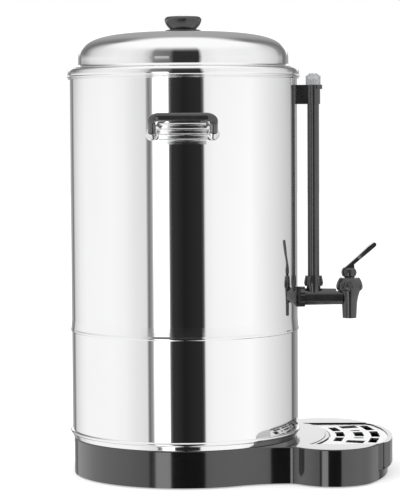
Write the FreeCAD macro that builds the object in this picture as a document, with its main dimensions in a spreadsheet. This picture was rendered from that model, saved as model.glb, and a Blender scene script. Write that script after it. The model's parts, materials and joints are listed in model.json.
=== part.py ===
"""Hot water urn with a tap, a level gauge and a drip tray, as separate pieces.

Lengths are millimetres. Z is up, +X is the front, where the tap is, and the floor is at Z = 0.
The drawing frame has the axis of the tank at X = 0. Each piece is then moved back along X, so
that the origin of the finished model is at the middle of the underside of the whole urn.
"""
import FreeCAD
import Part
import Sketcher
import math
import os

SIZES = {
    # base
    "foot_height": 2.5,
    "foot_radius": 8.5,
    "foot_circle": 100.0,
    "foot_forward": 25.0,
    "base_bottom": 1.5,
    "deck_level": 43.5,
    "deck_thickness": 3.0,
    "base_wall": 3.0,
    "base_setback": 1.5,
    "base_edge_radius": 1.5,
    "neck_setback": 52.0,
    "neck_depth": 28.5,
    "shelf_reach": 105.5,
    "shelf_corner_setback": 69.5,
    "shelf_corner_half": 77.0,
    "shelf_corner_radius": 50.0,
    "opening_setback": 21.0,
    "cover_thickness": 2.5,
    "cover_gap": 0.4,
    "post_radius": 4.5,
    "post_setback": 11.5,
    "shelf_post_setback": 19.0,
    "shelf_post_out": 24.0,
    "cover_screw_radius": 1.4,
    "cover_screw_head": 2.8,
    "cover_screw_length": 12.0,
    "vent_width": 3.0,
    "vent_length": 30.0,
    "vent_circle": 70.0,
    # drip tray and grille
    "recess_floor": 11.5,
    "recess_wall": 2.5,
    "recess_half_width": 83.6,
    "recess_setback": 32.0,
    "tray_gap": 0.5,
    "tray_wall": 1.5,
    "tray_floor": 2.0,
    "tray_drop": 0.5,
    "tray_ledge": 1.8,
    "tray_inner_wall": 4.0,
    "tray_inner_ledge": 4.0,
    "grille_finger_gap": 2.0,
    "panel_proud": 5.7,
    "panel_edge_radius": 2.5,
    "grille_drop": 1.5,
    "grille_thickness": 2.5,
    "grille_gap": 0.4,
    "grille_seat_gap": 0.3,
    "inner_slot_offset": 18.0,
    "middle_slot_offset": 40.0,
    "outer_slot_offset": 59.0,
    "slot_width": 9.0,
    "side_slot_width": 19.0,
    "small_slot_width": 10.0,
    "slot_angle": 12.4,
    "side_slot_angle": 16.2,
    "small_slot_angle": 8.0,
    "centre_slot_half_angle": 4.0,
    "slot_half_angle": 3.3,
    "side_slot_half_angle": 1.9,
    "small_slot_half_angle": 0.7,
    # tank
    "tank_radius": 133.0,
    "shell_wall": 0.8,
    "shell_foot_rise": 6.5,
    "seam_height": 121.6,
    "seam_bead": 0.7,
    "seam_lap": 8.0,
    "lap_gap": 0.05,
    "shell_height": 416.4,
    "ring_foot_setback": 6.0,
    "ring_bead_proud": 2.8,
    "ring_bead_rise": 9.5,
    "ring_height": 13.9,
    "ring_lip": 1.4,
    "ring_flare": 11.0,
    "ring_bead_curve": 3.2,
    "ring_top_curve": 4.6,
    "ring_wall": 1.2,
    "ring_ledge": 6.0,
    "insulation_gap": 9.0,
    "inner_bottom_rise": 128.0,
    "inner_corner": 14.0,
    "inner_flange_setback": 1.4,
    "collar_proud": 3.0,
    "collar_grip": 1.9,
    "collar_rise": 9.1,
    "collar_bore_gap": 0.6,
    "collar_roll": 4.4,
    "pan_setback": 8.0,
    "pan_thickness": 1.2,
    "shield_rise": 70.0,
    "shield_rim": 8.0,
    # lid
    "lid_gap": 0.3,
    "lid_wall": 1.0,
    "lid_flange_reach": 3.4,
    "lid_inset": 3.6,
    "skirt_gap": 2.0,
    "skirt_depth": 8.0,
    "lid_wall_height": 11.5,
    "shoulder_setback": 15.0,
    "shoulder_rise": 22.6,
    "crown_setback": 59.0,
    "brow_rise": 8.0,
    "shoulder_curve": 27.0,
    "brow_curve": 230.0,
    "crown_curve": 1100.0,
    "flange_fillet": 0.9,
    "knob_foot_radius": 15.2,
    "knob_radius": 21.8,
    "knob_height": 15.9,
    "knob_edge": 4.5,
    "knob_crown": 1.0,
    "knob_crown_setback": 3.4,
    "knob_side_curve": 19.0,
    "knob_edge_curve": 4.2,
    "washer_thickness": 1.4,
    "washer_lip": 0.6,
    "knob_screw_radius": 2.5,
    "knob_screw_length": 12.0,
    "knob_screw_head": 5.0,
    # handles
    "handle_drop": 47.9,
    "handle_width": 78.2,
    "grip_radius": 4.7,
    "grip_corner": 9.0,
    "grip_leg": 18.3,
    "handle_tilt": 33.0,
    "stub_radius": 5.4,
    "stub_length": 9.0,
    "strap_height": 24.0,
    "strap_drop": 18.5,
    "strap_half_width": 26.0,
    "strap_thickness": 1.5,
    "strap_gap": 0.05,
    "rib_pitch": 5.8,
    "rib_width": 2.6,
    "rib_rise": 0.8,
    "lug_radius": 6.9,
    "lug_depth": 8.0,
    "lug_drop": 1.0,
    "lug_edge_radius": 1.8,
    "arm_height": 9.0,
    "handle_screw_radius": 2.0,
    "handle_screw_head": 3.6,
    "handle_screw_cover": 2.0,
    "screw_gap": 0.1,
    # tap
    "tap_rise": 28.0,
    "pipe_radius": 9.4,
    "pipe_root_radius": 10.0,
    "pipe_bore": 4.5,
    "pipe_gap": 0.35,
    "shank_radius": 8.0,
    "shank_tail": 14.0,
    "wall_nut_width": 5.4,
    "wall_nut_radius": 12.0,
    "gasket_radius": 12.0,
    "gasket_stand": 3.3,
    "lock_nut_radius": 14.0,
    "lock_nut_width": 7.0,
    "tank_gasket_width": 2.5,
    "tap_projection": 61.4,
    "spout_drop": 25.4,
    "spout_radius": 8.1,
    "spout_bore": 5.5,
    "flare_drop": 9.5,
    "flare_radius": 8.9,
    "flare_curve": 60.0,
    "barrel_rise": 10.5,
    "shoulder_drop": 0.5,
    "shoulder_radius": 12.5,
    "seat_drop": 7.0,
    "seat_radius": 4.0,
    "chamber_radius": 7.5,
    "bonnet_foot_rise": 7.2,
    "bonnet_foot_setback": 2.0,
    "bonnet_belly_rise": 4.4,
    "bonnet_radius": 15.7,
    "bonnet_height": 15.0,
    "bonnet_top_radius": 11.6,
    "bonnet_belly_curve": 6.0,
    "bonnet_crown_curve": 22.0,
    "bonnet_wall": 2.4,
    "neck_radius": 6.0,
    "neck_rise": 1.2,
    "lever_collar_radius": 9.7,
    "lever_collar_height": 10.8,
    "stem_radius": 2.5,
    "stem_gap": 0.06,
    "seat_gap": 0.3,
    "cup_radius": 6.6,
    "cup_height": 6.0,
    "stem_head": 2.5,
    "spring_wire": 0.8,
    "spring_radius": 4.6,
    "spring_turns": 5.0,
    "pin_radius": 1.5,
    "pin_gap": 0.05,
    "pivot_rise": 5.8,
    "lever_rise": 41.5,
    "lever_length": 45.5,
    "lever_root_radius": 5.0,
    "lever_root_width": 9.6,
    "lever_tip_width": 15.0,
    "lever_under": 2.7,
    "lever_thickness": 5.0,
    "lever_tip_curve": 3.4,
    "lever_waist_curve": 60.0,
    "fork_gap": 0.35,
    # gauge
    "gauge_projection": 19.1,
    "tee_radius": 8.2,
    "tee_rise": 12.7,
    "tee_bore": 4.6,
    "gauge_nut_gap": 0.3,
    "gauge_nut_height": 12.0,
    "gauge_nut_radius": 11.4,
    "gauge_nut_top_radius": 9.7,
    "gauge_nut_belly": 3.6,
    "gauge_tube_radius": 4.0,
    "gauge_tube_wall": 1.0,
    "gauge_tube_seat": 5.2,
    "gauge_seal_width": 3.0,
    "shield_radius": 6.9,
    "shield_bore": 4.9,
    "shield_slit": 2.4,
    "gauge_top_drop": 11.2,
    "cap_height": 13.8,
    "cap_radius": 8.7,
    "cap_crown_radius": 4.5,
    "cap_bevel": 3.2,
    "bracket_height": 22.5,
    "clip_radius": 8.2,
    "bracket_width": 11.0,
    "bracket_lip": 3.0,
    "bracket_lip_height": 5.0,
    "bracket_screw_radius": 1.8,
    "bracket_screw_rise": 7.0,
    # heating and electrical parts
    "plate_radius": 88.0,
    "plate_thickness": 4.0,
    "element_ring_radius": 66.0,
    "element_radius": 3.6,
    "element_angle": 340.0,
    "terminal_radius": 2.2,
    "terminal_length": 20.0,
    "thermostat_radius": 9.0,
    "thermostat_height": 13.0,
    "thermostat_reach": 34.0,
    "cutout_radius": 7.0,
    "cutout_height": 8.0,
    "block_length": 42.0,
    "block_width": 18.0,
    "block_height": 14.0,
    "inlet_level": 24.0,
    "inlet_width": 27.0,
    "inlet_height": 20.0,
    "inlet_depth": 21.0,
    "inlet_wall": 2.2,
    "flange_thickness": 2.0,
    "flange_rim": 3.0,
    "flange_gap": 0.1,
    "inlet_setback": 1.2,
    "inlet_pin_radius": 1.6,
    "inlet_pin_length": 12.0,
    "inlet_pin_pitch": 6.5,
    "switch_angle": 132.0,
    "switch_level": 25.0,
    "switch_width": 30.0,
    "switch_height": 13.5,
    "switch_depth": 14.0,
    "rocker_gap": 0.4,
    "rocker_end_gap": 1.2,
    "rocker_rise": 2.4,
    "lamp_radius": 4.0,
    "lamp_dome": 1.2,
    "lamp_angle": 145.0,
}

# Sizes that follow from the ones above.
FOLLOWING = {
    "base_radius": "tank_radius - base_setback",
    "shelf_front": "tank_radius + shelf_reach",
    "shelf_corner_reach": "shelf_front - shelf_corner_setback",
    "neck_reach": "shelf_corner_reach - neck_setback",
    "neck_half_width": "base_radius - neck_depth",
    "tank_opening_radius": "tank_radius - opening_setback",
    "post_circle": "base_radius - post_setback",
    "shelf_post_reach": "shelf_corner_reach - shelf_post_setback",
    "shelf_post_half": "shelf_corner_half + shelf_post_out",
    "recess_inner_radius": "tank_radius + recess_setback",
    "tray_top": "deck_level - tray_drop",
    "grille_top": "deck_level - grille_drop",
    "inner_slot_circle": "recess_inner_radius + inner_slot_offset",
    "middle_slot_circle": "recess_inner_radius + middle_slot_offset",
    "outer_slot_circle": "recess_inner_radius + outer_slot_offset",
    "shell_bottom": "deck_level + shell_foot_rise",
    "seam_level": "shell_bottom + seam_height",
    "shell_top": "shell_bottom + shell_height",
    "ring_foot_radius": "tank_radius - ring_foot_setback",
    "ring_bead_radius": "tank_radius + ring_bead_proud",
    "ring_bead_level": "deck_level + ring_bead_rise",
    "ring_top": "deck_level + ring_height",
    "ring_inner_radius": "tank_opening_radius + ring_ledge",
    "inner_radius": "tank_radius - insulation_gap",
    "inner_bottom": "shell_bottom + inner_bottom_rise",
    "inner_flange": "tank_radius - inner_flange_setback",
    "collar_radius": "tank_radius + collar_proud",
    "collar_bottom": "shell_top - collar_grip",
    "collar_top": "shell_top + collar_rise",
    "collar_bore": "inner_radius + collar_bore_gap",
    "pan_radius": "tank_radius - pan_setback",
    "shield_level": "shell_bottom + shield_rise",
    "lid_radius": "collar_bore - lid_inset",
    "lid_flange_radius": "collar_bore + lid_flange_reach",
    "lid_skirt_bottom": "collar_top - skirt_depth",
    "lid_shoulder_level": "collar_top + lid_wall_height",
    "lid_shoulder_radius": "lid_radius - shoulder_setback",
    "lid_shoulder_top": "lid_shoulder_level + shoulder_rise",
    "lid_crown_radius": "lid_radius - crown_setback",
    "lid_crown_level": "lid_shoulder_top + brow_rise",
    "lid_crown_rise": "crown_curve - sqrt(crown_curve ^ 2 - lid_crown_radius ^ 2)",
    "lid_apex": "lid_crown_level + lid_crown_rise",
    "knob_foot": "lid_apex + washer_thickness",
    "knob_top": "knob_foot + knob_height",
    "knob_crown_radius": "knob_radius - knob_crown_setback",
    "washer_radius": "knob_foot_radius + washer_lip",
    "handle_level": "shell_top - handle_drop",
    "strap_level": "handle_level - strap_drop",
    "lug_level": "strap_level - lug_drop",
    "tap_level": "inner_bottom + tap_rise",
    "tap_reach": "tank_radius + tap_projection",
    "gauge_reach": "tank_radius + gauge_projection",
    "gasket_outer_reach": "tank_radius + gasket_stand",
    "pipe_start": "gasket_outer_reach + wall_nut_width",
    "pipe_end": "tap_reach - bonnet_radius - pipe_gap",
    "shank_inner_reach": "inner_radius - shank_tail",
    "spout_bottom": "tap_level - spout_drop",
    "flare_level": "tap_level - flare_drop",
    "barrel_top": "tap_level + barrel_rise",
    "seat_level": "tap_level - seat_drop",
    "bonnet_bottom": "tap_level + bonnet_foot_rise",
    "shoulder_level": "bonnet_bottom - shoulder_drop",
    "bonnet_widest": "bonnet_bottom + bonnet_belly_rise",
    "bonnet_top": "bonnet_bottom + bonnet_height",
    "collar_level": "bonnet_top + neck_rise",
    "lever_collar_top": "collar_level + lever_collar_height",
    "pivot_level": "collar_level + pivot_rise",
    "tee_top": "tap_level + tee_rise",
    "gauge_nut_bottom": "tee_top + gauge_nut_gap",
    "gauge_nut_top": "gauge_nut_bottom + gauge_nut_height",
    "gauge_tube_bottom": "tee_top - gauge_tube_seat",
    "gauge_top": "shell_top - gauge_top_drop",
    "cap_top": "gauge_top + cap_height",
    "bracket_bottom": "gauge_top - bracket_height",
    "bracket_screw_level": "bracket_bottom + bracket_screw_rise",
}

document = FreeCAD.newDocument("HotWaterUrn")
sheet = document.addObject("Spreadsheet::Sheet", "Sizes")
for row, (name, value) in enumerate([*SIZES.items(), *FOLLOWING.items()], 1):
    sheet.set(f"A{row}", name)
    sheet.setAlias(f"B{row}", name)
    sheet.set(f"B{row}", f"={value}" if name in FOLLOWING else str(value))
document.recompute()

pieces = []


class Size:
    """A number together with the sheet expression that gives it."""

    def __init__(self, value, text):
        self.value = value
        self.text = text

    @staticmethod
    def of(other):
        return other if isinstance(other, Size) else Size(float(other), repr(float(other)))

    def join(self, other, value, sign):
        return Size(value, f"({self.text} {sign} {other.text})")

    def __add__(self, other):
        other = Size.of(other)
        return self.join(other, self.value + other.value, "+")

    def __sub__(self, other):
        other = Size.of(other)
        return self.join(other, self.value - other.value, "-")

    def __mul__(self, other):
        other = Size.of(other)
        return self.join(other, self.value * other.value, "*")

    def __truediv__(self, other):
        other = Size.of(other)
        return self.join(other, self.value / other.value, "/")

    def __radd__(self, other):
        return Size.of(other) + self

    def __rsub__(self, other):
        return Size.of(other) - self

    def __rmul__(self, other):
        return Size.of(other) * self

    def __neg__(self):
        return Size(-self.value, f"(-1 * {self.text})")

    def root(self):
        return Size(math.sqrt(self.value), f"sqrt({self.text})")

    def cosine(self):
        return Size(math.cos(math.radians(self.value)), f"cos({self.text} * 1 deg)")

    def sine(self):
        return Size(math.sin(math.radians(self.value)), f"sin({self.text} * 1 deg)")

    def angle_of_sine(self):
        return Size(math.degrees(math.asin(self.value)), f"asin({self.text})")


class Sizes:
    """The sheet's cells by name."""

    def __getattr__(self, name):
        return Size(float(sheet.get(name)), f"Sizes.{name}")


s = Sizes()

front_radius = ((s.shelf_front - s.shelf_corner_reach) * (s.shelf_front - s.shelf_corner_reach)
                + s.shelf_corner_half * s.shelf_corner_half
                - s.shelf_corner_radius * s.shelf_corner_radius) / (
                    (s.shelf_front - s.shelf_corner_reach - s.shelf_corner_radius) * 2)
front_centre = s.shelf_front - front_radius
origin_shift = (s.shelf_front + s.panel_proud - s.collar_radius) / 2
shell_bore = s.tank_radius - s.shell_wall
strap_inner = s.tank_radius + s.strap_gap
strap_outer = strap_inner + s.strap_thickness
handle_half = s.handle_width / 2 - s.grip_radius
lug_face = (strap_inner * strap_inner - handle_half * handle_half).root() + s.lug_depth


def bind(item, path, size):
    """Sets a property to a size, and ties it to the sheet."""
    size = Size.of(size)
    item.setExpression(path, size.text)


def place(piece, x=0, y=0, z=0, axis=None, angle=0):
    """Puts a finished piece into the urn, X being measured from the tank's axis."""
    if axis:
        piece.Placement = FreeCAD.Placement(FreeCAD.Vector(), FreeCAD.Vector(*axis), 0)
        bind(piece, "Placement.Rotation.Angle", angle)
    bind(piece, "Placement.Base.x", Size.of(x) - origin_shift)
    bind(piece, "Placement.Base.y", y)
    bind(piece, "Placement.Base.z", z)
    pieces.append(piece)
    return piece


def new_body(label):
    body = document.addObject("PartDesign::Body", label)
    body.Label = label
    return body


def sketch_on(body, plane, offset=0):
    """A sketch on one of the body's own planes, moved along the plane's normal."""
    sketch = body.newObject("Sketcher::SketchObject", body.Label + "_sketch")
    base = [feature for feature in body.Origin.OriginFeatures if feature.Role == plane]
    sketch.AttachmentSupport = [(base[0], "")]
    sketch.MapMode = "FlatFace"
    bind(sketch, "AttachmentOffset.Base.z", offset)
    return sketch


def fix_point(sketch, edge, end, x, y):
    """Ties one point of a sketch to its distances from the sketch's origin."""
    for kind, size in (("DistanceX", Size.of(x)), ("DistanceY", Size.of(y))):
        number = sketch.addConstraint(
            Sketcher.Constraint(kind, -1, 1, edge, end, size.value))
        sketch.setExpression(f"Constraints[{number}]", size.text)


def fix_radius(sketch, edge, radius):
    radius = Size.of(radius)
    number = sketch.addConstraint(Sketcher.Constraint("Radius", edge, radius.value))
    sketch.setExpression(f"Constraints[{number}]", radius.text)


def arc_between(start, finish, radius, left):
    """The short arc from start to finish. A left arc has its centre on the left of the way."""
    chord = finish - start
    middle = (start + finish) * 0.5
    normal = FreeCAD.Vector(-chord.y, chord.x, 0).normalize()
    rise = math.sqrt(max(radius ** 2 - (chord.Length / 2) ** 2, 0))
    centre = middle + normal * (rise if left else -rise)
    first, last = (start, finish) if left else (finish, start)
    begin = math.atan2(first.y - centre.y, first.x - centre.x)
    end = math.atan2(last.y - centre.y, last.x - centre.x)
    if end < begin:
        end += 2 * math.pi
    circle = Part.Circle(centre, FreeCAD.Vector(0, 0, 1), radius)
    return Part.ArcOfCircle(circle, begin, end)


def draw(sketch, outline):
    """Draws a closed outline. A corner is (x, y), or (x, y, radius, "left" or "right") where an
    arc leads to it from the corner before."""
    corners = [(Size.of(corner[0]), Size.of(corner[1])) for corner in outline]
    points = [FreeCAD.Vector(x.value, y.value, 0) for x, y in corners]
    edges = []
    for index, corner in enumerate(outline):
        start, finish = points[index - 1], points[index]
        if len(corner) == 2:
            edge = sketch.addGeometry(Part.LineSegment(start, finish), False)
            edges.append((edge, 1, 2))
        else:
            left = corner[3] == "left"
            arc = arc_between(start, finish, Size.of(corner[2]).value, left)
            edge = sketch.addGeometry(arc, False)
            fix_radius(sketch, edge, corner[2])
            edges.append((edge, 1, 2) if left else (edge, 2, 1))
    for index, (edge, first, last) in enumerate(edges):
        following, next_first, next_last = edges[(index + 1) % len(edges)]
        sketch.addConstraint(Sketcher.Constraint("Coincident", edge, last, following, next_first))
        fix_point(sketch, edge, last, *corners[index])


def draw_circle(sketch, x, y, radius):
    centre = FreeCAD.Vector(Size.of(x).value, Size.of(y).value, 0)
    circle = Part.Circle(centre, FreeCAD.Vector(0, 0, 1), Size.of(radius).value)
    edge = sketch.addGeometry(circle, False)
    fix_radius(sketch, edge, radius)
    fix_point(sketch, edge, 3, x, y)


def draw_all(sketch, outlines):
    """Draws outlines, and circles given as ("circle", x, y, radius)."""
    for outline in outlines:
        if outline[0] == "circle":
            draw_circle(sketch, *outline[1:])
        else:
            draw(sketch, outline)


def revolve(body, outline, cut=False, plane="XZ_Plane"):
    """Turns an outline of (radius, height) corners about the vertical axis."""
    sketch = sketch_on(body, plane)
    draw(sketch, outline)
    kind = "Groove" if cut else "Revolution"
    feature = body.newObject(f"PartDesign::{kind}", f"{body.Label}_{kind}")
    feature.Profile = sketch
    feature.ReferenceAxis = (sketch, ["V_Axis"])
    feature.Angle = 360
    return feature


def extrude(body, outlines, bottom, top, cut=False, plane="XY_Plane"):
    """Pads or pockets outlines between two levels along the plane's normal."""
    sketch = sketch_on(body, plane, bottom)
    draw_all(sketch, outlines)
    kind = "Pocket" if cut else "Pad"
    feature = body.newObject(f"PartDesign::{kind}", f"{body.Label}_{kind}")
    feature.Profile = sketch
    feature.Length = (Size.of(top) - bottom).value
    bind(feature, "Length", Size.of(top) - bottom)
    feature.Reversed = cut
    return feature


def round_edges(body, radius, wanted):
    """Fillets the edges of the newest feature whose middle point passes the test."""
    document.recompute()
    base = body.Tip
    names = []
    for number, edge in enumerate(base.Shape.Edges, 1):
        middle = edge.valueAt((edge.FirstParameter + edge.LastParameter) / 2)
        if wanted(middle, edge):
            names.append(f"Edge{number}")
    feature = body.newObject("PartDesign::Fillet", f"{body.Label}_Fillet")
    feature.Base = (base, names)
    feature.Radius = Size.of(radius).value
    bind(feature, "Radius", radius)
    return feature


def repeat_about(body, feature, count, axis="Z_Axis"):
    """Copies a feature round an axis of the body."""
    document.recompute()
    pattern = body.newObject("PartDesign::PolarPattern", f"{body.Label}_Pattern")
    pattern.Originals = [feature]
    base = [item for item in body.Origin.OriginFeatures if item.Role == axis]
    pattern.Axis = (base[0], [""])
    pattern.Angle = 360
    pattern.Occurrences = count
    body.Tip = pattern
    return pattern


def spot(body, x, y, z, axis=None, angle=0):
    """Puts one of a group's solids at its place, X being measured from the tank's axis."""
    if axis:
        body.Placement = FreeCAD.Placement(FreeCAD.Vector(), FreeCAD.Vector(*axis), 0)
        bind(body, "Placement.Rotation.Angle", angle)
    bind(body, "Placement.Base.x", x)
    bind(body, "Placement.Base.y", y)
    bind(body, "Placement.Base.z", z)
    return body


def group(label, bodies):
    """Like small pieces of one kind, kept as separate solids of one node."""
    compound = document.addObject("Part::Compound", label)
    compound.Label = label
    compound.Links = bodies
    return place(compound)


def dome_radius(reach, rise):
    """The radius of a dome that rises so much over the axis."""
    return (reach * reach + rise * rise) / (rise * 2)


def box(x, y, half_x, half_y):
    """A rectangle about a middle point."""
    x, y, half_x, half_y = (Size.of(size) for size in (x, y, half_x, half_y))
    return [(x - half_x, y - half_y), (x + half_x, y - half_y),
            (x + half_x, y + half_y), (x - half_x, y + half_y)]


def tube_outline(outer, inner, bottom, top):
    return [(inner, bottom), (outer, bottom), (outer, top), (inner, top)]


def hexagon(centre_x, centre_y, across):
    """A hexagon of a width across its flats."""
    radius = Size.of(across) / math.sqrt(3)
    corners = []
    for number in range(6):
        angle = math.radians(60 * number + 30)
        corners.append((centre_x + radius * math.cos(angle), centre_y + radius * math.sin(angle)))
    return corners


def base_plan(inset=0):
    """The base seen from above: a round rear, a shallow neck at each side and a wide shelf."""
    inset = Size.of(inset)
    rear = s.base_radius - inset
    neck_x = s.neck_reach
    neck_y = s.neck_half_width - inset
    corner_x = s.shelf_corner_reach
    corner_y = s.shelf_corner_half
    corner = s.shelf_corner_radius - inset
    front = front_radius - inset
    rear_neck = (neck_x * neck_x + neck_y * neck_y - rear * rear) / ((rear - neck_y) * 2)
    across = corner_x - neck_x
    above = neck_y - corner_y
    shelf_neck = (across * across + above * above - corner * corner) / ((corner - above) * 2)
    rear_x = neck_x * rear / (rear + rear_neck)
    rear_y = (neck_y + rear_neck) * rear / (rear + rear_neck)
    side_x = corner_x - across * corner / (corner + shelf_neck)
    side_y = corner_y + (above + shelf_neck) * corner / (corner + shelf_neck)
    front_x = front_centre + (corner_x - front_centre) * front / (front - corner)
    front_y = corner_y * front / (front - corner)
    return [
        (front_x, front_y, front, "left"),
        (side_x, side_y, corner, "left"),
        (neck_x, neck_y, shelf_neck, "right"),
        (rear_x, rear_y, rear_neck, "right"),
        (-rear, 0, rear, "left"),
        (rear_x, -rear_y, rear, "left"),
        (neck_x, -neck_y, rear_neck, "right"),
        (side_x, -side_y, shelf_neck, "right"),
        (front_x, -front_y, corner, "left"),
    ]


def tray_plan(half_width, inner, outer):
    """The tray seen from above: straight sides, a hollow end round the tank, a curved front."""
    front_x = front_centre + (outer * outer - half_width * half_width).root()
    back_x = (inner * inner - half_width * half_width).root()
    return [
        (front_x, half_width, outer, "left"),
        (back_x, half_width),
        (back_x, -half_width, inner, "right"),
        (front_x, -half_width),
    ]


def arc_slot(circle, width, angle, half_angle):
    """A slot between two arcs about the tank's axis, at an angle from the front."""
    inner = circle - width / 2
    outer = circle + width / 2
    low, high = angle - half_angle, angle + half_angle
    return [
        (outer * low.cosine(), outer * low.sine()),
        (outer * high.cosine(), outer * high.sine(), outer, "left"),
        (inner * high.cosine(), inner * high.sine()),
        (inner * low.cosine(), inner * low.sine(), inner, "right"),
    ]


def post_places():
    """Where the screws hold the bottom cover: four round the rear and one each side in front."""
    places = []
    for angle in (60, 120, 240, 300):
        places.append((s.post_circle * math.cos(math.radians(angle)),
                       s.post_circle * math.sin(math.radians(angle))))
    places.append((s.shelf_post_reach, s.shelf_post_half))
    places.append((s.shelf_post_reach, -s.shelf_post_half))
    return places


def base_housing():
    body = new_body("base_housing")
    under_deck = s.deck_level - s.deck_thickness
    extrude(body, [base_plan()], s.base_bottom, s.deck_level)
    round_edges(body, s.base_edge_radius,
                lambda point, edge: abs(point.z - s.deck_level.value) < 0.01)
    extrude(body, [base_plan(s.base_wall)], s.base_bottom, under_deck, cut=True)
    block_half = s.recess_half_width + s.recess_wall
    block_inner = s.recess_inner_radius - s.recess_wall
    block_front = front_radius - s.base_wall + 0.5
    extrude(body, [tray_plan(block_half, block_inner, block_front)],
            s.recess_floor - s.recess_wall, under_deck + 0.5)
    recess = tray_plan(s.recess_half_width, s.recess_inner_radius, front_radius + s.base_wall)
    extrude(body, [recess], s.recess_floor, s.deck_level + 1, cut=True)
    extrude(body, [("circle", 0, 0, s.tank_opening_radius)], under_deck - 1, s.deck_level + 1,
            cut=True)
    cover_top = s.foot_height + s.cover_thickness
    posts = [("circle", x, y, s.post_radius) for x, y in post_places()]
    extrude(body, posts, cover_top, under_deck + 0.5)
    pilots = [("circle", x, y, s.cover_screw_radius) for x, y in post_places()]
    extrude(body, pilots, cover_top - 1, cover_top + s.cover_screw_length, cut=True)
    inlet_w = s.inlet_width + s.rocker_gap
    inlet_h = s.inlet_height + s.rocker_gap
    flange = s.flange_rim * 2
    recess = s.base_radius - s.inlet_setback - s.flange_thickness - s.flange_gap
    inside = s.base_radius - s.base_wall * 3
    wall_block(body, s.inlet_level, inlet_w + flange * 2, inlet_h + flange * 2 - 1,
               recess - s.base_wall, s.base_radius - s.base_wall + 0.5)
    wall_cut(body, 180, s.inlet_level, inlet_w + flange, inlet_h + flange, recess)
    wall_cut(body, 180, s.inlet_level, inlet_w, inlet_h, inside)
    wall_cut(body, s.switch_angle, s.switch_level, s.switch_width + s.rocker_gap,
             s.switch_height + s.rocker_gap, inside)
    wall_cut(body, s.lamp_angle, s.switch_level, None, s.lamp_radius, inside)
    return place(body)


def wall_outline(body, angle, level, width, height, reach):
    """A sketch square to the base's rear wall, at a reach from the tank's axis."""
    angle = Size.of(angle)
    sketch = sketch_on(body, "YZ_Plane")
    if width:
        draw(sketch, box(0, level, width / 2, height / 2))
    else:
        draw_circle(sketch, 0, level, height)
    spin = FreeCAD.Rotation(FreeCAD.Vector(0, 1, 0), 0)
    sketch.AttachmentOffset = FreeCAD.Placement(FreeCAD.Vector(), spin)
    bind(sketch, "AttachmentOffset.Rotation.Angle", angle)
    bind(sketch, "AttachmentOffset.Base.x", reach * angle.sine())
    bind(sketch, "AttachmentOffset.Base.z", reach * angle.cosine())
    return sketch


def wall_block(body, level, width, height, inside, outside):
    """A thicker piece of wall at the rear, round the inlet's recess."""
    block = body.newObject("PartDesign::Pad", body.Label + "_block")
    block.Profile = wall_outline(body, 180, level, width, height, inside)
    block.Length = (outside - inside).value
    bind(block, "Length", outside - inside)
    return block


def wall_cut(body, angle, level, width, height, inside):
    """An opening or a recess in the rear wall of the base, open to the outside."""
    feature = body.newObject("PartDesign::Pocket", body.Label + "_opening")
    feature.Profile = wall_outline(body, angle, level, width, height, inside)
    depth = s.base_radius + s.base_wall - inside
    feature.Length = depth.value
    bind(feature, "Length", depth)
    feature.Reversed = True
    return feature


def bottom_cover():
    body = new_body("bottom_cover")
    top = s.foot_height + s.cover_thickness
    extrude(body, [base_plan(s.base_wall + s.cover_gap)], s.foot_height, top)
    holes = [("circle", x, y, s.cover_screw_radius) for x, y in post_places()]
    extrude(body, holes, s.foot_height - 1, top + 1, cut=True)
    vent = extrude(body, [box(s.vent_circle, 0, s.vent_length / 2, s.vent_width / 2)],
                   s.foot_height - 1, top + 1, cut=True)
    repeat_about(body, vent, 12)
    return place(body)


def rubber_feet():
    places = [(s.foot_circle * math.cos(math.radians(turn)),
               s.foot_circle * math.sin(math.radians(turn))) for turn in (75, 180, 285)]
    places += [(s.shelf_corner_reach + s.foot_forward, s.shelf_corner_half * side)
               for side in (1, -1)]
    feet = []
    for x, y in places:
        foot = new_body("foot")
        revolve(foot, [(0, 0), (s.foot_radius - 1, 0), (s.foot_radius, s.foot_height),
                       (0, s.foot_height)])
        feet.append(spot(foot, x, y, 0))
    return group("rubber_feet", feet)


def cover_screws():
    head = s.foot_height - s.base_bottom
    tip = s.cover_thickness + s.cover_screw_length - 1
    shaft = s.cover_screw_radius - s.screw_gap
    screws = []
    for x, y in post_places():
        screw = new_body("cover_screw")
        revolve(screw, [(0, -head), (s.cover_screw_head, -head), (s.cover_screw_head, 0),
                        (shaft, 0), (shaft, tip), (0, tip)])
        screws.append(spot(screw, x, y, s.foot_height))
    return group("cover_screws", screws)


def drip_tray():
    body = new_body("drip_tray")
    half = s.recess_half_width - s.tray_gap
    inner = s.recess_inner_radius + s.tray_gap
    outer = front_radius + s.panel_proud
    bottom = s.recess_floor + s.tray_gap
    extrude(body, [tray_plan(half, inner, outer)], bottom, s.tray_top)
    round_edges(body, s.panel_edge_radius,
                lambda point, edge: point.x > s.shelf_front.value
                and edge.Length > half.value and point.z < bottom.value + 1)
    ledge = s.grille_top - s.grille_thickness - s.grille_seat_gap
    rim = inner + s.tray_inner_wall
    extrude(body, [tray_plan(half - s.tray_wall, rim, front_radius)], ledge, s.tray_top + 1,
            cut=True)
    well = tray_plan(half - s.tray_wall - s.tray_ledge, rim + s.tray_inner_ledge,
                     front_radius - s.tray_ledge)
    extrude(body, [well], bottom + s.tray_floor, s.tray_top + 1, cut=True)
    return place(body)


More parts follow.
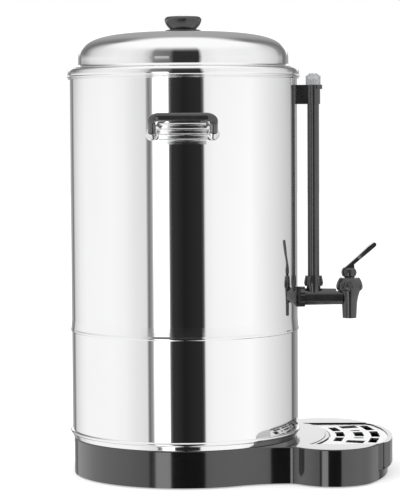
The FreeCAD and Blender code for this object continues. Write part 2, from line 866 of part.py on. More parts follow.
def drip_grille():
    body = new_body("drip_grille")
    half = s.recess_half_width - s.tray_gap - s.tray_wall - s.grille_gap
    inner = s.recess_inner_radius + s.tray_gap + s.tray_inner_wall + s.grille_finger_gap
    bottom = s.grille_top - s.grille_thickness
    extrude(body, [tray_plan(half, inner, front_radius - s.grille_gap)], bottom, s.grille_top)
    slots = []
    for circle in (s.inner_slot_circle, s.outer_slot_circle):
        slots.append(arc_slot(circle, s.slot_width, Size.of(0), s.centre_slot_half_angle))
        for side in (1, -1):
            slots.append(arc_slot(circle, s.slot_width, s.slot_angle * side, s.slot_half_angle))
    for side in (1, -1):
        slots.append(arc_slot(s.middle_slot_circle, s.side_slot_width, s.side_slot_angle * side,
                              s.side_slot_half_angle))
        slots.append(arc_slot(s.middle_slot_circle, s.small_slot_width, s.small_slot_angle * side,
                              s.small_slot_half_angle))
    slots.append(arc_slot(s.middle_slot_circle, s.small_slot_width, Size.of(0),
                          s.slot_half_angle))
    extrude(body, slots, bottom - 1, s.grille_top + 1, cut=True)
    return place(body)


def bottom_ring():
    """The polished ring that the shell stands in, with a groove and a bead."""
    body = new_body("bottom_ring")
    foot = s.deck_level
    lip = s.ring_bead_radius - s.ring_lip
    groove_level = s.ring_bead_level - 3
    revolve(body, [
        (s.ring_inner_radius, foot),
        (s.ring_foot_radius, foot),
        (lip, groove_level - 1.4, s.ring_flare, "left"),
        (lip, groove_level - 0.5),
        (lip - 0.5, groove_level),
        (lip, groove_level + 0.6),
        (s.ring_bead_radius, s.ring_bead_level, s.ring_bead_curve, "left"),
        (s.tank_radius + 0.9, s.ring_top - 0.4, s.ring_top_curve, "left"),
        (s.tank_radius + s.lap_gap, s.ring_top),
        (s.tank_radius + s.lap_gap, s.shell_bottom),
        (s.tank_radius - s.shell_wall, s.shell_bottom),
        (s.ring_foot_radius - 0.6, foot + s.ring_wall),
        (s.ring_inner_radius, foot + s.ring_wall),
    ])
    return place(body)


def bottom_pan():
    body = new_body("bottom_pan")
    level = s.deck_level + s.ring_wall
    revolve(body, [(20, level + s.pan_thickness), (20, level), (s.pan_radius, level),
                   (s.pan_radius, level + s.pan_thickness)])
    return place(body)


def lower_shell():
    body = new_body("lower_shell")
    lap = shell_bore - s.lap_gap
    revolve(body, [
        (shell_bore, s.shell_bottom),
        (s.tank_radius, s.shell_bottom),
        (s.tank_radius, s.seam_level),
        (lap, s.seam_level),
        (lap, s.seam_level + s.seam_lap),
        (lap - s.shell_wall, s.seam_level + s.seam_lap),
        (lap - s.shell_wall, s.seam_level - 2),
        (shell_bore, s.seam_level - 4),
    ])
    return place(body)


def upper_shell():
    body = new_body("upper_shell")
    bottom = s.seam_level + 0.1
    revolve(body, [
        (shell_bore, bottom),
        (s.tank_radius + s.seam_bead, bottom),
        (s.tank_radius + s.seam_bead, bottom + 1.2),
        (s.tank_radius, bottom + 2.2),
        (s.tank_radius, s.shell_top),
        (shell_bore, s.shell_top),
    ])
    radial_hole(body, s.shank_radius + 0.1, s.tap_level, s.tank_radius)
    radial_hole(body, s.bracket_screw_radius, s.bracket_screw_level, s.tank_radius)
    hole = s.handle_screw_radius + s.screw_gap
    holes = [("circle", handle_half * across, s.lug_level, hole) for across in (1, -1)]
    extrude(body, holes, -s.collar_radius, s.collar_radius, cut=True, plane="XZ_Plane")
    return place(body)


def radial_hole(body, radius, level, reach):
    """A round hole through the wall at the front, along X."""
    return extrude(body, [("circle", 0, level, radius)], reach * 0.8, reach * 1.1, cut=True,
                   plane="YZ_Plane")


def inner_tank():
    body = new_body("inner_tank")
    wall = s.shell_wall
    bore = s.inner_radius - wall
    flange = s.shell_top
    revolve(body, [
        (0, s.inner_bottom),
        (s.inner_radius - s.inner_corner, s.inner_bottom),
        (s.inner_radius, s.inner_bottom + s.inner_corner, s.inner_corner, "left"),
        (s.inner_radius, flange),
        (s.inner_flange, flange),
        (s.inner_flange, flange + wall),
        (bore, flange + wall),
        (bore, s.inner_bottom + s.inner_corner),
        (bore - s.inner_corner + wall, s.inner_bottom + wall, s.inner_corner - wall, "right"),
        (0, s.inner_bottom + wall),
    ])
    radial_hole(body, s.shank_radius + 0.1, s.tap_level, s.inner_radius)
    return place(body)


def rim_collar():
    """The rolled collar that clamps the shell and the tank's flange at the rim."""
    body = new_body("rim_collar")
    seat = s.shell_top + s.shell_wall
    revolve(body, [
        (s.tank_radius + s.lap_gap, s.collar_bottom),
        (s.collar_radius - 0.4, s.collar_bottom),
        (s.collar_radius, s.collar_bottom + 0.6),
        (s.collar_radius, s.collar_top - s.collar_roll),
        (s.collar_radius - s.collar_roll, s.collar_top, s.collar_roll, "left"),
        (s.lid_flange_radius - 1, s.collar_top),
        (s.collar_bore, s.collar_top - 1.5),
        (s.collar_bore, seat),
        (s.tank_radius + s.lap_gap, seat),
    ])
    return place(body)


def heat_shield():
    body = new_body("heat_shield")
    rim = shell_bore - s.lap_gap
    level = s.shield_level
    top = level + s.shield_rim
    revolve(body, [(15, level), (rim, level), (rim, top), (rim - s.shell_wall, top),
                   (rim - s.shell_wall, level + s.shell_wall), (15, level + s.shell_wall)])
    return place(body)


def heater_plate():
    body = new_body("heater_plate")
    revolve(body, [(0, s.inner_bottom - s.plate_thickness),
                   (s.plate_radius, s.inner_bottom - s.plate_thickness),
                   (s.plate_radius, s.inner_bottom), (0, s.inner_bottom)])
    return place(body)


def heating_element():
    """A tubular ring under the plate, open at the rear, with its two ends turned down."""
    body = new_body("heating_element")
    level = s.inner_bottom - s.plate_thickness - s.element_radius
    sketch = sketch_on(body, "XZ_Plane")
    draw_circle(sketch, s.element_ring_radius, level, s.element_radius)
    ring = body.newObject("PartDesign::Revolution", "element_ring")
    ring.Profile = sketch
    ring.ReferenceAxis = (sketch, ["V_Axis"])
    bind(ring, "Angle", s.element_angle)
    ends = [("circle", s.element_ring_radius, 0, s.terminal_radius),
            ("circle", s.element_ring_radius * s.element_angle.cosine(),
             s.element_ring_radius * s.element_angle.sine(), s.terminal_radius)]
    extrude(body, ends, level - s.terminal_length, level)
    return place(body, axis=(0, 0, 1), angle=360 - s.element_angle / 2)


def thermostat():
    body = new_body("thermostat")
    top = s.inner_bottom - s.plate_thickness
    reach = s.thermostat_radius
    revolve(body, [(0, top - s.thermostat_height), (3, top - s.thermostat_height),
                   (3, top - s.thermostat_height + 3), (reach, top - s.thermostat_height + 3),
                   (reach, top - 1.5), (reach + 3, top - 1.5), (reach + 3, top), (0, top)])
    return place(body, x=s.thermostat_reach)


def thermal_cutout():
    body = new_body("thermal_cutout")
    top = s.inner_bottom - s.plate_thickness
    revolve(body, [(0, top - s.cutout_height), (s.cutout_radius, top - s.cutout_height),
                   (s.cutout_radius, top), (0, top)])
    return place(body, x=-s.thermostat_reach)


def terminal_block():
    body = new_body("terminal_block")
    level = s.deck_level + s.ring_wall + s.pan_thickness
    reach = -s.element_ring_radius
    extrude(body, [box(reach, 0, s.block_width / 2, s.block_length / 2)], level,
            level + s.block_height)
    holes = [("circle", reach + s.block_width / 4 * side, s.block_length / 4 * across, 2)
             for side in (1, -1) for across in (-1, 0, 1)]
    extrude(body, holes, level + s.block_height / 2, level + s.block_height + 1, cut=True)
    return place(body)


def power_inlet():
    """The socket for the lead. Its flange lies in a recess of the rear wall."""
    body = new_body("power_inlet")
    face = s.base_radius - s.inlet_setback
    back = s.base_radius - s.inlet_depth
    half_w, half_h = s.inlet_width / 2, s.inlet_height / 2
    extrude(body, [box(0, s.inlet_level, half_w + s.flange_rim, half_h + s.flange_rim)],
            face - s.flange_thickness, face, plane="YZ_Plane")
    extrude(body, [box(0, s.inlet_level, half_w, half_h)], back, face - 0.5, plane="YZ_Plane")
    extrude(body, [box(0, s.inlet_level, half_w - s.inlet_wall, half_h - s.inlet_wall)],
            back + s.inlet_wall, face + 1, cut=True, plane="YZ_Plane")
    return place(body, axis=(0, 0, 1), angle=180)


def inlet_pins():
    root = s.inlet_depth - s.inlet_wall - s.base_radius
    tip = s.inlet_pin_radius - 0.8
    pins = []
    for across, above in ((-1, -1), (0, 1), (1, -1)):
        pin = new_body("inlet_pin")
        revolve(pin, [(0, 0), (s.inlet_pin_radius, 0),
                      (s.inlet_pin_radius, s.inlet_pin_length - 1), (tip, s.inlet_pin_length),
                      (0, s.inlet_pin_length)])
        pins.append(spot(pin, root, s.inlet_pin_pitch * across, s.inlet_level + above * 2.5,
                         axis=(0, 1, 0), angle=-90))
    return group("inlet_pins", pins)


def switch_frame():
    body = new_body("switch_frame")
    wall = s.base_radius
    half_w, half_h = s.switch_width / 2, s.switch_height / 2
    extrude(body, [box(0, s.switch_level, half_w + s.flange_rim, half_h + s.flange_rim)],
            wall, wall + s.flange_thickness, plane="YZ_Plane")
    extrude(body, [box(0, s.switch_level, half_w, half_h)], wall - s.switch_depth, wall + 0.5,
            plane="YZ_Plane")
    extrude(body, [box(0, s.switch_level, half_w - s.inlet_wall, half_h - s.inlet_wall)],
            wall - s.switch_depth + s.inlet_wall, wall + s.flange_thickness + 1, cut=True,
            plane="YZ_Plane")
    return place(body, axis=(0, 0, 1), angle=s.switch_angle)


def switch_rocker():
    """The rocker, tipped to its off side. Its two faces meet at a shallow angle over the pivot."""
    body = new_body("switch_rocker")
    half = s.switch_width / 2 - s.inlet_wall - s.rocker_end_gap
    across = s.switch_height - s.inlet_wall * 2 - s.rocker_gap * 2
    depth = s.switch_depth - s.inlet_wall * 2
    face = s.flange_thickness + s.rocker_end_gap
    outline = [(-half, face + s.rocker_rise), (-half + 1.6, -depth + 6), (0, -depth + 3),
               (half - 1.6, -depth + 6), (half, face - s.rocker_rise), (0, face - 0.8)]
    extrude(body, [outline], -across / 2, across / 2)
    x = s.base_radius * s.switch_angle.cosine()
    y = s.base_radius * s.switch_angle.sine()
    return place(body, x, y, s.switch_level, axis=(0, 0, 1), angle=s.switch_angle - 90)


def pilot_lamp():
    body = new_body("pilot_lamp")
    wall = s.base_radius
    rim = s.lamp_radius + 1.6
    revolve(body, [(0, -9), (s.lamp_radius - 0.05, -9), (s.lamp_radius - 0.05, 0.3), (rim, 0.3),
                   (rim, 1.3), (s.lamp_radius, 2.2),
                   (0, s.lamp_dome + 2.2, dome_radius(s.lamp_radius, s.lamp_dome), "left")])
    x = wall * s.lamp_angle.cosine()
    y = wall * s.lamp_angle.sine()
    body.Placement.Rotation = FreeCAD.Rotation(FreeCAD.Vector(0, 0, 1),
                                               FreeCAD.Vector(x.value, y.value, 0))
    return place(body, x, y, s.switch_level)


def lid_shell():
    """The pressed lid: a skirt in the rim, a flange on the collar, a wall and a domed crown."""
    body = new_body("lid_shell")
    rest = s.collar_top + s.lid_gap
    wall = s.lid_wall
    skirt = s.collar_bore - s.skirt_gap
    fillet = s.flange_fillet
    revolve(body, [
        (s.knob_screw_radius + 0.2, s.lid_apex - wall),
        (s.lid_crown_radius, s.lid_crown_level - wall, s.crown_curve - wall, "right"),
        (s.lid_shoulder_radius - 0.4, s.lid_shoulder_top - wall, s.brow_curve - wall, "right"),
        (s.lid_radius - wall, s.lid_shoulder_level, s.shoulder_curve - wall, "right"),
        (s.lid_radius - wall, rest + wall),
        (skirt - wall, rest - wall),
        (skirt - wall, s.lid_skirt_bottom),
        (skirt, s.lid_skirt_bottom),
        (skirt, rest),
        (s.lid_flange_radius, rest),
        (s.lid_flange_radius, rest + wall, wall * 0.52, "left"),
        (s.lid_radius + fillet, rest + wall),
        (s.lid_radius, rest + wall + fillet, fillet, "right"),
        (s.lid_radius, s.lid_shoulder_level),
        (s.lid_shoulder_radius, s.lid_shoulder_top, s.shoulder_curve, "left"),
        (s.lid_crown_radius, s.lid_crown_level, s.brow_curve, "left"),
        (s.knob_screw_radius + 0.2, s.lid_apex, s.crown_curve, "left"),
    ])
    return place(body)


def lid_knob():
    """A bowl-shaped knob: narrow foot, full sides and a slightly domed top."""
    body = new_body("lid_knob")
    foot = s.knob_foot
    revolve(body, [
        (0, foot + s.knob_screw_length),
        (s.knob_screw_radius, foot + s.knob_screw_length),
        (s.knob_screw_radius, foot),
        (s.knob_foot_radius, foot),
        (s.knob_radius, s.knob_top - s.knob_edge, s.knob_side_curve, "left"),
        (s.knob_crown_radius, s.knob_top - s.knob_crown, s.knob_edge_curve, "left"),
        (0, s.knob_top, dome_radius(s.knob_crown_radius, s.knob_crown), "left"),
    ])
    return place(body)


def knob_washer():
    body = new_body("knob_washer")
    revolve(body, [(s.knob_screw_radius + 0.2, s.lid_apex),
                   (s.washer_radius, s.lid_apex),
                   (s.washer_radius, s.knob_foot),
                   (s.knob_screw_radius + 0.2, s.knob_foot)])
    return place(body)


def knob_screw():
    body = new_body("knob_screw")
    under = s.lid_apex - s.lid_wall
    revolve(body, [(0, under - 2.6), (s.knob_screw_head - 1, under - 2.6),
                   (s.knob_screw_head, under - 1.4), (s.knob_screw_head, under - 0.05),
                   (s.knob_screw_radius, under - 0.05),
                   (s.knob_screw_radius, s.knob_foot + s.knob_screw_length),
                   (0, s.knob_foot + s.knob_screw_length)])
    return place(body)


leg_rise = s.grip_leg + s.grip_corner
grip_start_y = strap_outer + s.stub_length * s.handle_tilt.cosine()
grip_start_z = s.handle_level - leg_rise * s.handle_tilt.sine()


def handle_grip(label, side):
    """A black bail-shaped grip. It is drawn flat, and then tilted up and out."""
    body = new_body(label)
    half = handle_half
    corner = s.grip_corner
    path = sketch_on(body, "XY_Plane")
    lines = [((-half, 0), (-half, leg_rise - corner)),
             ((-half, leg_rise - corner), (-half + corner, leg_rise)),
             ((-half + corner, leg_rise), (half - corner, leg_rise)),
             ((half - corner, leg_rise), (half, leg_rise - corner)),
             ((half, leg_rise - corner), (half, 0))]
    previous = None
    for number, (start, finish) in enumerate(lines):
        begin = FreeCAD.Vector(Size.of(start[0]).value, Size.of(start[1]).value, 0)
        end = FreeCAD.Vector(Size.of(finish[0]).value, Size.of(finish[1]).value, 0)
        if number in (1, 3):
            edge = path.addGeometry(arc_between(begin, end, corner.value, False), False)
            fix_radius(path, edge, corner)
            first, last = 2, 1
        else:
            edge = path.addGeometry(Part.LineSegment(begin, end), False)
            first, last = 1, 2
        if previous:
            path.addConstraint(Sketcher.Constraint("Coincident", *previous, edge, first))
        else:
            fix_point(path, edge, first, *start)
        fix_point(path, edge, last, *finish)
        previous = (edge, last)
    lean(path, grip_start_y, grip_start_z)
    section = sketch_on(body, "XZ_Plane")
    draw_circle(section, -half, 0, s.grip_radius)
    lean(section, grip_start_z, -grip_start_y)
    pipe = body.newObject("PartDesign::AdditivePipe", label + "_pipe")
    pipe.Profile = section
    pipe.Spine = path
    return place(body, axis=(0, 0, 1), angle=0 if side > 0 else 180)


def lean(sketch, up, out):
    """Tilts a sketch about its own X axis, and moves it in its plane and along its normal."""
    sketch.AttachmentOffset = FreeCAD.Placement(FreeCAD.Vector(), FreeCAD.Vector(1, 0, 0), 0)
    bind(sketch, "AttachmentOffset.Rotation.Angle", s.handle_tilt)
    bind(sketch, "AttachmentOffset.Base.y", up)
    bind(sketch, "AttachmentOffset.Base.z", out)


def flipped(outline, across=1, up=1, level=0):
    """The outline mirrored across either axis or both, and then raised."""
    other = {"left": "right", "right": "left"}
    result = []
    for corner in outline:
        arc = tuple(corner[2:])
        if arc and across * up < 0:
            arc = (arc[0], other[arc[1]])
        result.append((Size.of(corner[0]) * across, Size.of(corner[1]) * up + level) + arc)
    return result


def handle_bracket(label, side):
    """A ribbed steel plate that follows the tank. At each end it has a lug, and on the lug a
    stub that carries the grip."""
    body = new_body(label)
    low = s.strap_level - s.strap_height / 2
    high = s.strap_level + s.strap_height / 2
    rib_curve = dome_radius(s.rib_width / 2, s.rib_rise)
    plate = [(strap_inner, low), (strap_outer, low)]
    for number in range(4):
        middle = s.strap_level + s.rib_pitch * (number - 1.2)
        plate += [(strap_outer, middle - s.rib_width / 2),
                  (strap_outer, middle + s.rib_width / 2, rib_curve, "left")]
    plate += [(strap_outer, high), (strap_inner, high)]
    turned = revolve(body, plate, plane="YZ_Plane")
    turned.Midplane = True
    bind(turned, "Angle", (handle_half / strap_outer).angle_of_sine() * 2)
    edge = s.strap_half_width
    arm = s.arm_height / 2
    corner = [(edge, s.strap_height), (edge, arm * 2), (edge + arm, arm, arm, "left"),
              (s.handle_width, arm), (s.handle_width, s.strap_height)]
    corners = [flipped(corner, across, up, s.strap_level) for across in (1, -1)
               for up in (1, -1)]
    extrude(body, corners, -strap_outer * 1.05, -strap_inner * 0.7, cut=True, plane="XZ_Plane")
    lugs = [("circle", handle_half * across, s.lug_level, s.lug_radius) for across in (1, -1)]
    extrude(body, lugs, -lug_face, -strap_inner * 0.9, plane="XZ_Plane")
    round_edges(body, s.lug_edge_radius, lambda point, edge: abs(point.y - lug_face.value) < 0.01)
    for across in (1, -1):
        stub = sketch_on(body, "XZ_Plane")
        draw_circle(stub, handle_half * across, 0, s.stub_radius)
        lean(stub, grip_start_z, -grip_start_y)
        pad = body.newObject("PartDesign::Pad", label + "_stub")
        pad.Profile = stub
        bind(pad, "Length", s.stub_length + 4)
    extrude(body, [("circle", 0, 0, strap_inner)], low - s.strap_height, high + s.strap_height,
            cut=True)
    hole = s.handle_screw_radius + s.screw_gap
    holes = [("circle", handle_half * across, s.lug_level, hole) for across in (1, -1)]
    extrude(body, holes, s.handle_screw_cover - lug_face - 0.5, -strap_inner * 0.9, cut=True,
            plane="XZ_Plane")
    return place(body, axis=(0, 0, 1), angle=0 if side > 0 else 180)


def handle_screws():
    """The screws from inside the shell into the lugs."""
    head = s.handle_screw_head
    radius = s.handle_screw_radius
    edge = handle_half + head
    seat = (shell_bore * shell_bore - edge * edge).root() - s.screw_gap
    length = lug_face - s.handle_screw_cover - seat
    screws = []
    for side in (1, -1):
        for across in (1, -1):
            screw = new_body("handle_screw")
            revolve(screw, [(0, -radius), (head * 0.6, -radius), (head, -radius / 3), (head, 0),
                            (radius, 0), (radius, length), (0, length)])
            screws.append(spot(screw, handle_half * across, seat * side, s.lug_level,
                               axis=(1, 0, 0), angle=-90 * side))
    return group("handle_screws", screws)


def ring_on_pipe(label, radius, start, finish, kind="washer"):
    """A washer or a nut on the tap's pipe, between two reaches along X."""
    body = new_body(label)
    outline = hexagon(0, 0, radius * 2) if kind == "hexagon" else ("circle", 0, 0, radius)
    extrude(body, [outline, ("circle", 0, 0, s.shank_radius + s.lap_gap)], start, finish)
    if kind == "fluted":
        fluted(body, radius, 2.4, start - 1, finish + 1, 10)
    return place(body, 0, 0, s.tap_level, axis=(0, 1, 0), angle=90)


def tap_shank():
    """The pipe from the tank to the tap, with a tee that feeds the gauge."""
    body = new_body("tap_shank")
    revolve(body, [(s.pipe_bore, s.shank_inner_reach), (s.shank_radius, s.shank_inner_reach),
                   (s.shank_radius, s.pipe_start), (s.pipe_root_radius, s.pipe_start),
                   (s.pipe_radius, s.pipe_end), (s.pipe_bore, s.pipe_end)])
    extrude(body, [("circle", 0, s.gauge_reach, s.tee_radius)], 0, s.tee_top - s.tap_level,
            plane="YZ_Plane").Reversed = True
    extrude(body, [("circle", 0, s.gauge_reach, s.tee_bore)], 0, s.tee_top - s.tap_level + 1,
            cut=True, plane="YZ_Plane").Reversed = False
    return place(body, 0, 0, s.tap_level, axis=(0, 1, 0), angle=90)


def tap_body():
    """The barrel of the tap: spout below, seat inside, shoulder that carries the bonnet."""
    body = new_body("tap_body")
    revolve(body, [
        (s.spout_bore, s.spout_bottom),
        (s.spout_radius, s.spout_bottom),
        (s.flare_radius, s.flare_level),
        (s.shoulder_radius, s.shoulder_level, s.flare_curve, "right"),
        (s.shoulder_radius, s.barrel_top),
        (s.chamber_radius, s.barrel_top),
        (s.chamber_radius, s.seat_level + 2),
        (s.seat_radius, s.seat_level),
        (s.seat_radius, s.seat_level - 2),
        (s.spout_bore, s.seat_level - 4),
    ])
    flat = s.shoulder_level - s.tap_level
    half = (s.pipe_radius * s.pipe_radius - flat * flat).root()
    start = s.pipe_end - s.tap_reach
    bottom = s.tap_level - s.pipe_radius
    inlet = [(half, s.tap_level + flat), (-half, s.tap_level + flat),
             (0, bottom, s.pipe_radius, "left"), (half, s.tap_level + flat, s.pipe_radius, "left")]
    extrude(body, [inlet[1:]], start, -(s.chamber_radius + 0.8), plane="YZ_Plane")
    extrude(body, [("circle", 0, s.tap_level, s.pipe_bore)], start - 1, 0, cut=True,
            plane="YZ_Plane")
    return place(body, x=s.tap_reach)


def fluted(body, radius, bite, bottom, top, count):
    """Cuts shallow flutes down a nut."""
    flute = extrude(body, [("circle", radius + bite * 0.45, 0, bite)], bottom, top, cut=True)
    repeat_about(body, flute, count)


def tap_bonnet():
    """The fluted nut that closes the tap and guides the stem."""
    body = new_body("tap_bonnet")
    wall = s.bonnet_wall
    guide = s.stem_radius + s.stem_gap
    roof = s.bonnet_top - wall
    revolve(body, [
        (s.shoulder_radius + 0.05, s.bonnet_bottom),
        (s.bonnet_radius - s.bonnet_foot_setback, s.bonnet_bottom),
        (s.bonnet_radius, s.bonnet_widest, s.bonnet_belly_curve, "left"),
        (s.bonnet_top_radius, s.bonnet_top, s.bonnet_crown_curve, "left"),
        (s.neck_radius, s.bonnet_top),
        (s.neck_radius, s.collar_level),
        (guide, s.collar_level),
        (guide, roof),
        (s.chamber_radius, roof - 1),
        (s.chamber_radius, s.barrel_top),
        (s.shoulder_radius + 0.05, s.barrel_top),
    ])
    fluted(body, s.bonnet_radius, 3, s.bonnet_bottom - 1, s.bonnet_widest + 5, 8)
    return place(body, x=s.tap_reach)


def tap_collar():
    """The fork above the bonnet that carries the lever on its pin."""
    body = new_body("tap_collar")
    radius = s.lever_collar_radius
    height = s.lever_collar_height
    bore = s.stem_radius + 1.5
    revolve(body, [
        (bore, s.collar_level),
        (s.neck_radius + 1, s.collar_level),
        (radius - 1, s.collar_level + height * 0.1),
        (radius, s.collar_level + height * 0.46),
        (radius - 0.8, s.lever_collar_top - height * 0.22),
        (radius - 2.6, s.lever_collar_top),
        (bore, s.lever_collar_top),
    ])
    fluted(body, radius, 1.8, s.collar_level - 1, s.lever_collar_top + 1, 6)
    slot = s.lever_root_width / 2 + s.fork_gap
    extrude(body, [box(radius / 2, 0, radius + 1, slot)], s.collar_level - 1,
            s.lever_collar_top + 1, cut=True)
    return place(body, x=s.tap_reach)


def lever_pin():
    body = new_body("lever_pin")
    half = s.lever_root_width / 2
    extrude(body, [("circle", 0, 0, s.pin_radius)], -half, half, plane="XZ_Plane")
    return place(body, s.tap_reach, 0, s.pivot_level)


def tap_lever():
    """The lever: a forked root on the pin, a short gusset and a straight arm with a paddle."""
    body = new_body("tap_lever")
    reach = s.lever_length
    radius = s.lever_root_radius
    root = s.lever_root_width / 2
    tip = s.lever_tip_width / 2
    under = s.lever_under
    top = under + s.lever_thickness
    turns = [math.radians(angle) for angle in (140, 215, 320)]
    corners = [(radius * math.cos(turn), radius * math.sin(turn)) for turn in turns]
    side = [
        corners[0],
        corners[1] + (radius, "left"),
        corners[2] + (radius, "left"),
        (radius * 1.4, -radius * 0.16),
        (radius * 1.95, under + 0.3),
        (reach * 0.5, under),
        (reach - 3, under - 0.3),
        (reach, under + s.lever_thickness * 0.4, s.lever_tip_curve, "left"),
        (reach - 2, top - 0.4, s.lever_tip_curve, "left"),
        (reach * 0.8, top + 0.2),
        (reach * 0.4, top - 0.3),
        (radius * 0.1, top - 0.2),
    ]
    extrude(body, [side], -tip, tip, plane="XZ_Plane")
    waist = [(-radius * 2, root), (reach * 0.4, root),
             (reach - 8, tip - 0.4, s.lever_waist_curve, "right"),
             (reach - 4, tip), (reach + 2, tip), (reach + 2, tip + 4), (-radius * 2, tip + 4)]
    extrude(body, [waist, flipped(waist, up=-1)], -radius * 2, reach, cut=True)
    inside = s.stem_radius + s.seat_gap
    hollow = s.stem_radius * 1.5
    extrude(body, [box(hollow / 2 - radius, hollow / 2 - radius, radius + hollow / 2,
                       radius + hollow / 2)], -inside, inside, cut=True, plane="XZ_Plane")
    extrude(body, [("circle", 0, 0, s.pin_radius + s.pin_gap)], -root - 1, root + 1, cut=True,
            plane="XZ_Plane")
    return place(body, s.tap_reach, 0, s.pivot_level, axis=(0, 1, 0), angle=-s.lever_rise)


def tap_stem():
    body = new_body("tap_stem")
    foot = s.seat_level + s.cup_height - 2
    head = s.pivot_level + s.stem_head
    revolve(body, [(0, foot), (s.stem_radius, foot), (s.stem_radius, head), (0, head)])
    extrude(body, [("circle", 0, s.pivot_level, s.pin_radius + 0.02)], -s.stem_radius - 1,
            s.stem_radius + 1, cut=True, plane="XZ_Plane")
    return place(body, x=s.tap_reach)


def seat_cup():
    body = new_body("seat_cup")
    bottom = s.seat_level + s.seat_gap
    foot = s.seat_level + s.cup_height - 2
    revolve(body, [(0, bottom), (s.seat_radius - 0.5, bottom), (s.cup_radius, bottom + 2.6),
                   (s.cup_radius, bottom + s.cup_height), (s.stem_radius, bottom + s.cup_height),
                   (s.stem_radius, foot), (0, foot)])
    return place(body, x=s.tap_reach)


def return_spring():
    """The coil round the stem, between the cup and the bonnet's roof."""
    body = new_body("return_spring")
    bottom = s.seat_level + s.seat_gap + s.cup_height + s.spring_wire
    top = s.bonnet_top - s.bonnet_wall - 1 - s.spring_wire
    sketch = sketch_on(body, "XZ_Plane")
    draw_circle(sketch, s.spring_radius, 0, s.spring_wire / 2)
    coil = body.newObject("PartDesign::AdditiveHelix", "coil")
    coil.Profile = sketch
    coil.ReferenceAxis = (sketch, ["V_Axis"])
    coil.Mode = 2
    coil.Height = (top - bottom).value
    bind(coil, "Height", top - bottom)
    bind(coil, "Turns", s.spring_turns)
    return place(body, s.tap_reach, 0, bottom)


def gauge_nut():
    """The fluted nut that clamps the gauge's foot in the tee."""
    body = new_body("gauge_nut")
    bore = s.shield_radius + 0.05
    revolve(body, [(bore, s.gauge_nut_bottom), (s.gauge_nut_radius - 0.8, s.gauge_nut_bottom),
                   (s.gauge_nut_radius, s.gauge_nut_bottom + s.gauge_nut_belly),
                   (s.gauge_nut_top_radius, s.gauge_nut_top), (bore, s.gauge_nut_top)])
    fluted(body, s.gauge_nut_radius, 2.2, s.gauge_nut_bottom - 1, s.gauge_nut_top + 1, 6)
    return place(body, x=s.gauge_reach)


def gauge_seal():
    body = new_body("gauge_seal")
    bottom = s.tee_top - s.gauge_seal_width
    revolve(body, tube_outline(s.tee_bore, s.gauge_tube_radius, bottom, s.tee_top))
    return place(body, x=s.gauge_reach)


def gauge_tube():
    body = new_body("gauge_tube")
    bore = s.gauge_tube_radius - s.gauge_tube_wall
    revolve(body, tube_outline(s.gauge_tube_radius, bore, s.gauge_tube_bottom, s.gauge_top + 6))
    return place(body, x=s.gauge_reach)


def gauge_shield():
    """The black tube round the gauge glass, with a sight slit down its front."""
    body = new_body("gauge_shield")
    bottom = s.tee_top + s.gauge_nut_gap
    revolve(body, tube_outline(s.shield_radius, s.shield_bore, bottom, s.gauge_top))
    level = (s.gauge_nut_top + s.bracket_bottom) / 2
    half = (s.bracket_bottom - s.gauge_nut_top) / 2 - s.shield_slit * 2
    extrude(body, [box(0, level, s.shield_slit / 2, half)], 0, s.shield_radius * 1.2, cut=True,
            plane="YZ_Plane")
    return place(body, x=s.gauge_reach)


def gauge_cap():
    """The clear cap on top of the gauge, with a bevelled crown."""
    body = new_body("gauge_cap")
    bore = s.gauge_tube_radius + 0.05
    revolve(body, [(bore, s.gauge_top), (s.cap_radius, s.gauge_top),
                   (s.cap_radius, s.cap_top - s.cap_bevel),
                   (s.cap_radius - 1, s.cap_top - s.cap_bevel),
                   (s.cap_crown_radius, s.cap_top - 0.5), (0, s.cap_top),
                   (0, s.gauge_top + 6.3), (bore, s.gauge_top + 6.3)])
    return place(body, x=s.gauge_reach)


def gauge_bracket():
    """The black block that holds the top of the gauge off the tank."""
    body = new_body("gauge_bracket")
    top = s.gauge_top
    half = s.bracket_width / 2
    start = s.tank_radius - 1
    extrude(body, [box((start + s.gauge_reach) / 2, 0, (s.gauge_reach - start) / 2, half)],
            s.bracket_bottom, top)
    extrude(body, [("circle", s.gauge_reach, 0, s.clip_radius)], s.bracket_bottom, top)
    extrude(body, [("circle", s.gauge_reach + s.bracket_lip, 0, s.clip_radius - 0.5)],
            top - s.bracket_lip_height, top)
    bore = s.shield_radius + 0.05
    extrude(body, [("circle", s.gauge_reach, 0, bore)], s.bracket_bottom - 1, top + 1, cut=True)
    extrude(body, [("circle", 0, 0, s.tank_radius + s.lap_gap)], s.bracket_bottom - 1, top + 1,
            cut=True)
    hole = ("circle", 0, s.bracket_screw_level, s.bracket_screw_radius)
    extrude(body, [hole], s.tank_radius * 0.9,
            s.gauge_reach - s.shield_radius - 2, cut=True, plane="YZ_Plane")
    return place(body)


def bracket_screw():
    """The screw from inside the shell into the gauge's bracket."""
    body = new_body("bracket_screw")
    head = s.bracket_screw_radius * 2
    start = shell_bore - 1.8
    tip = s.gauge_reach - s.shield_radius - 2.2
    revolve(body, [(0, start), (head, start), (head, shell_bore - 0.1),
                   (s.bracket_screw_radius, shell_bore - 0.1), (s.bracket_screw_radius, tip),
                   (0, tip)])
    return place(body, 0, 0, s.bracket_screw_level, axis=(0, 1, 0), angle=90)


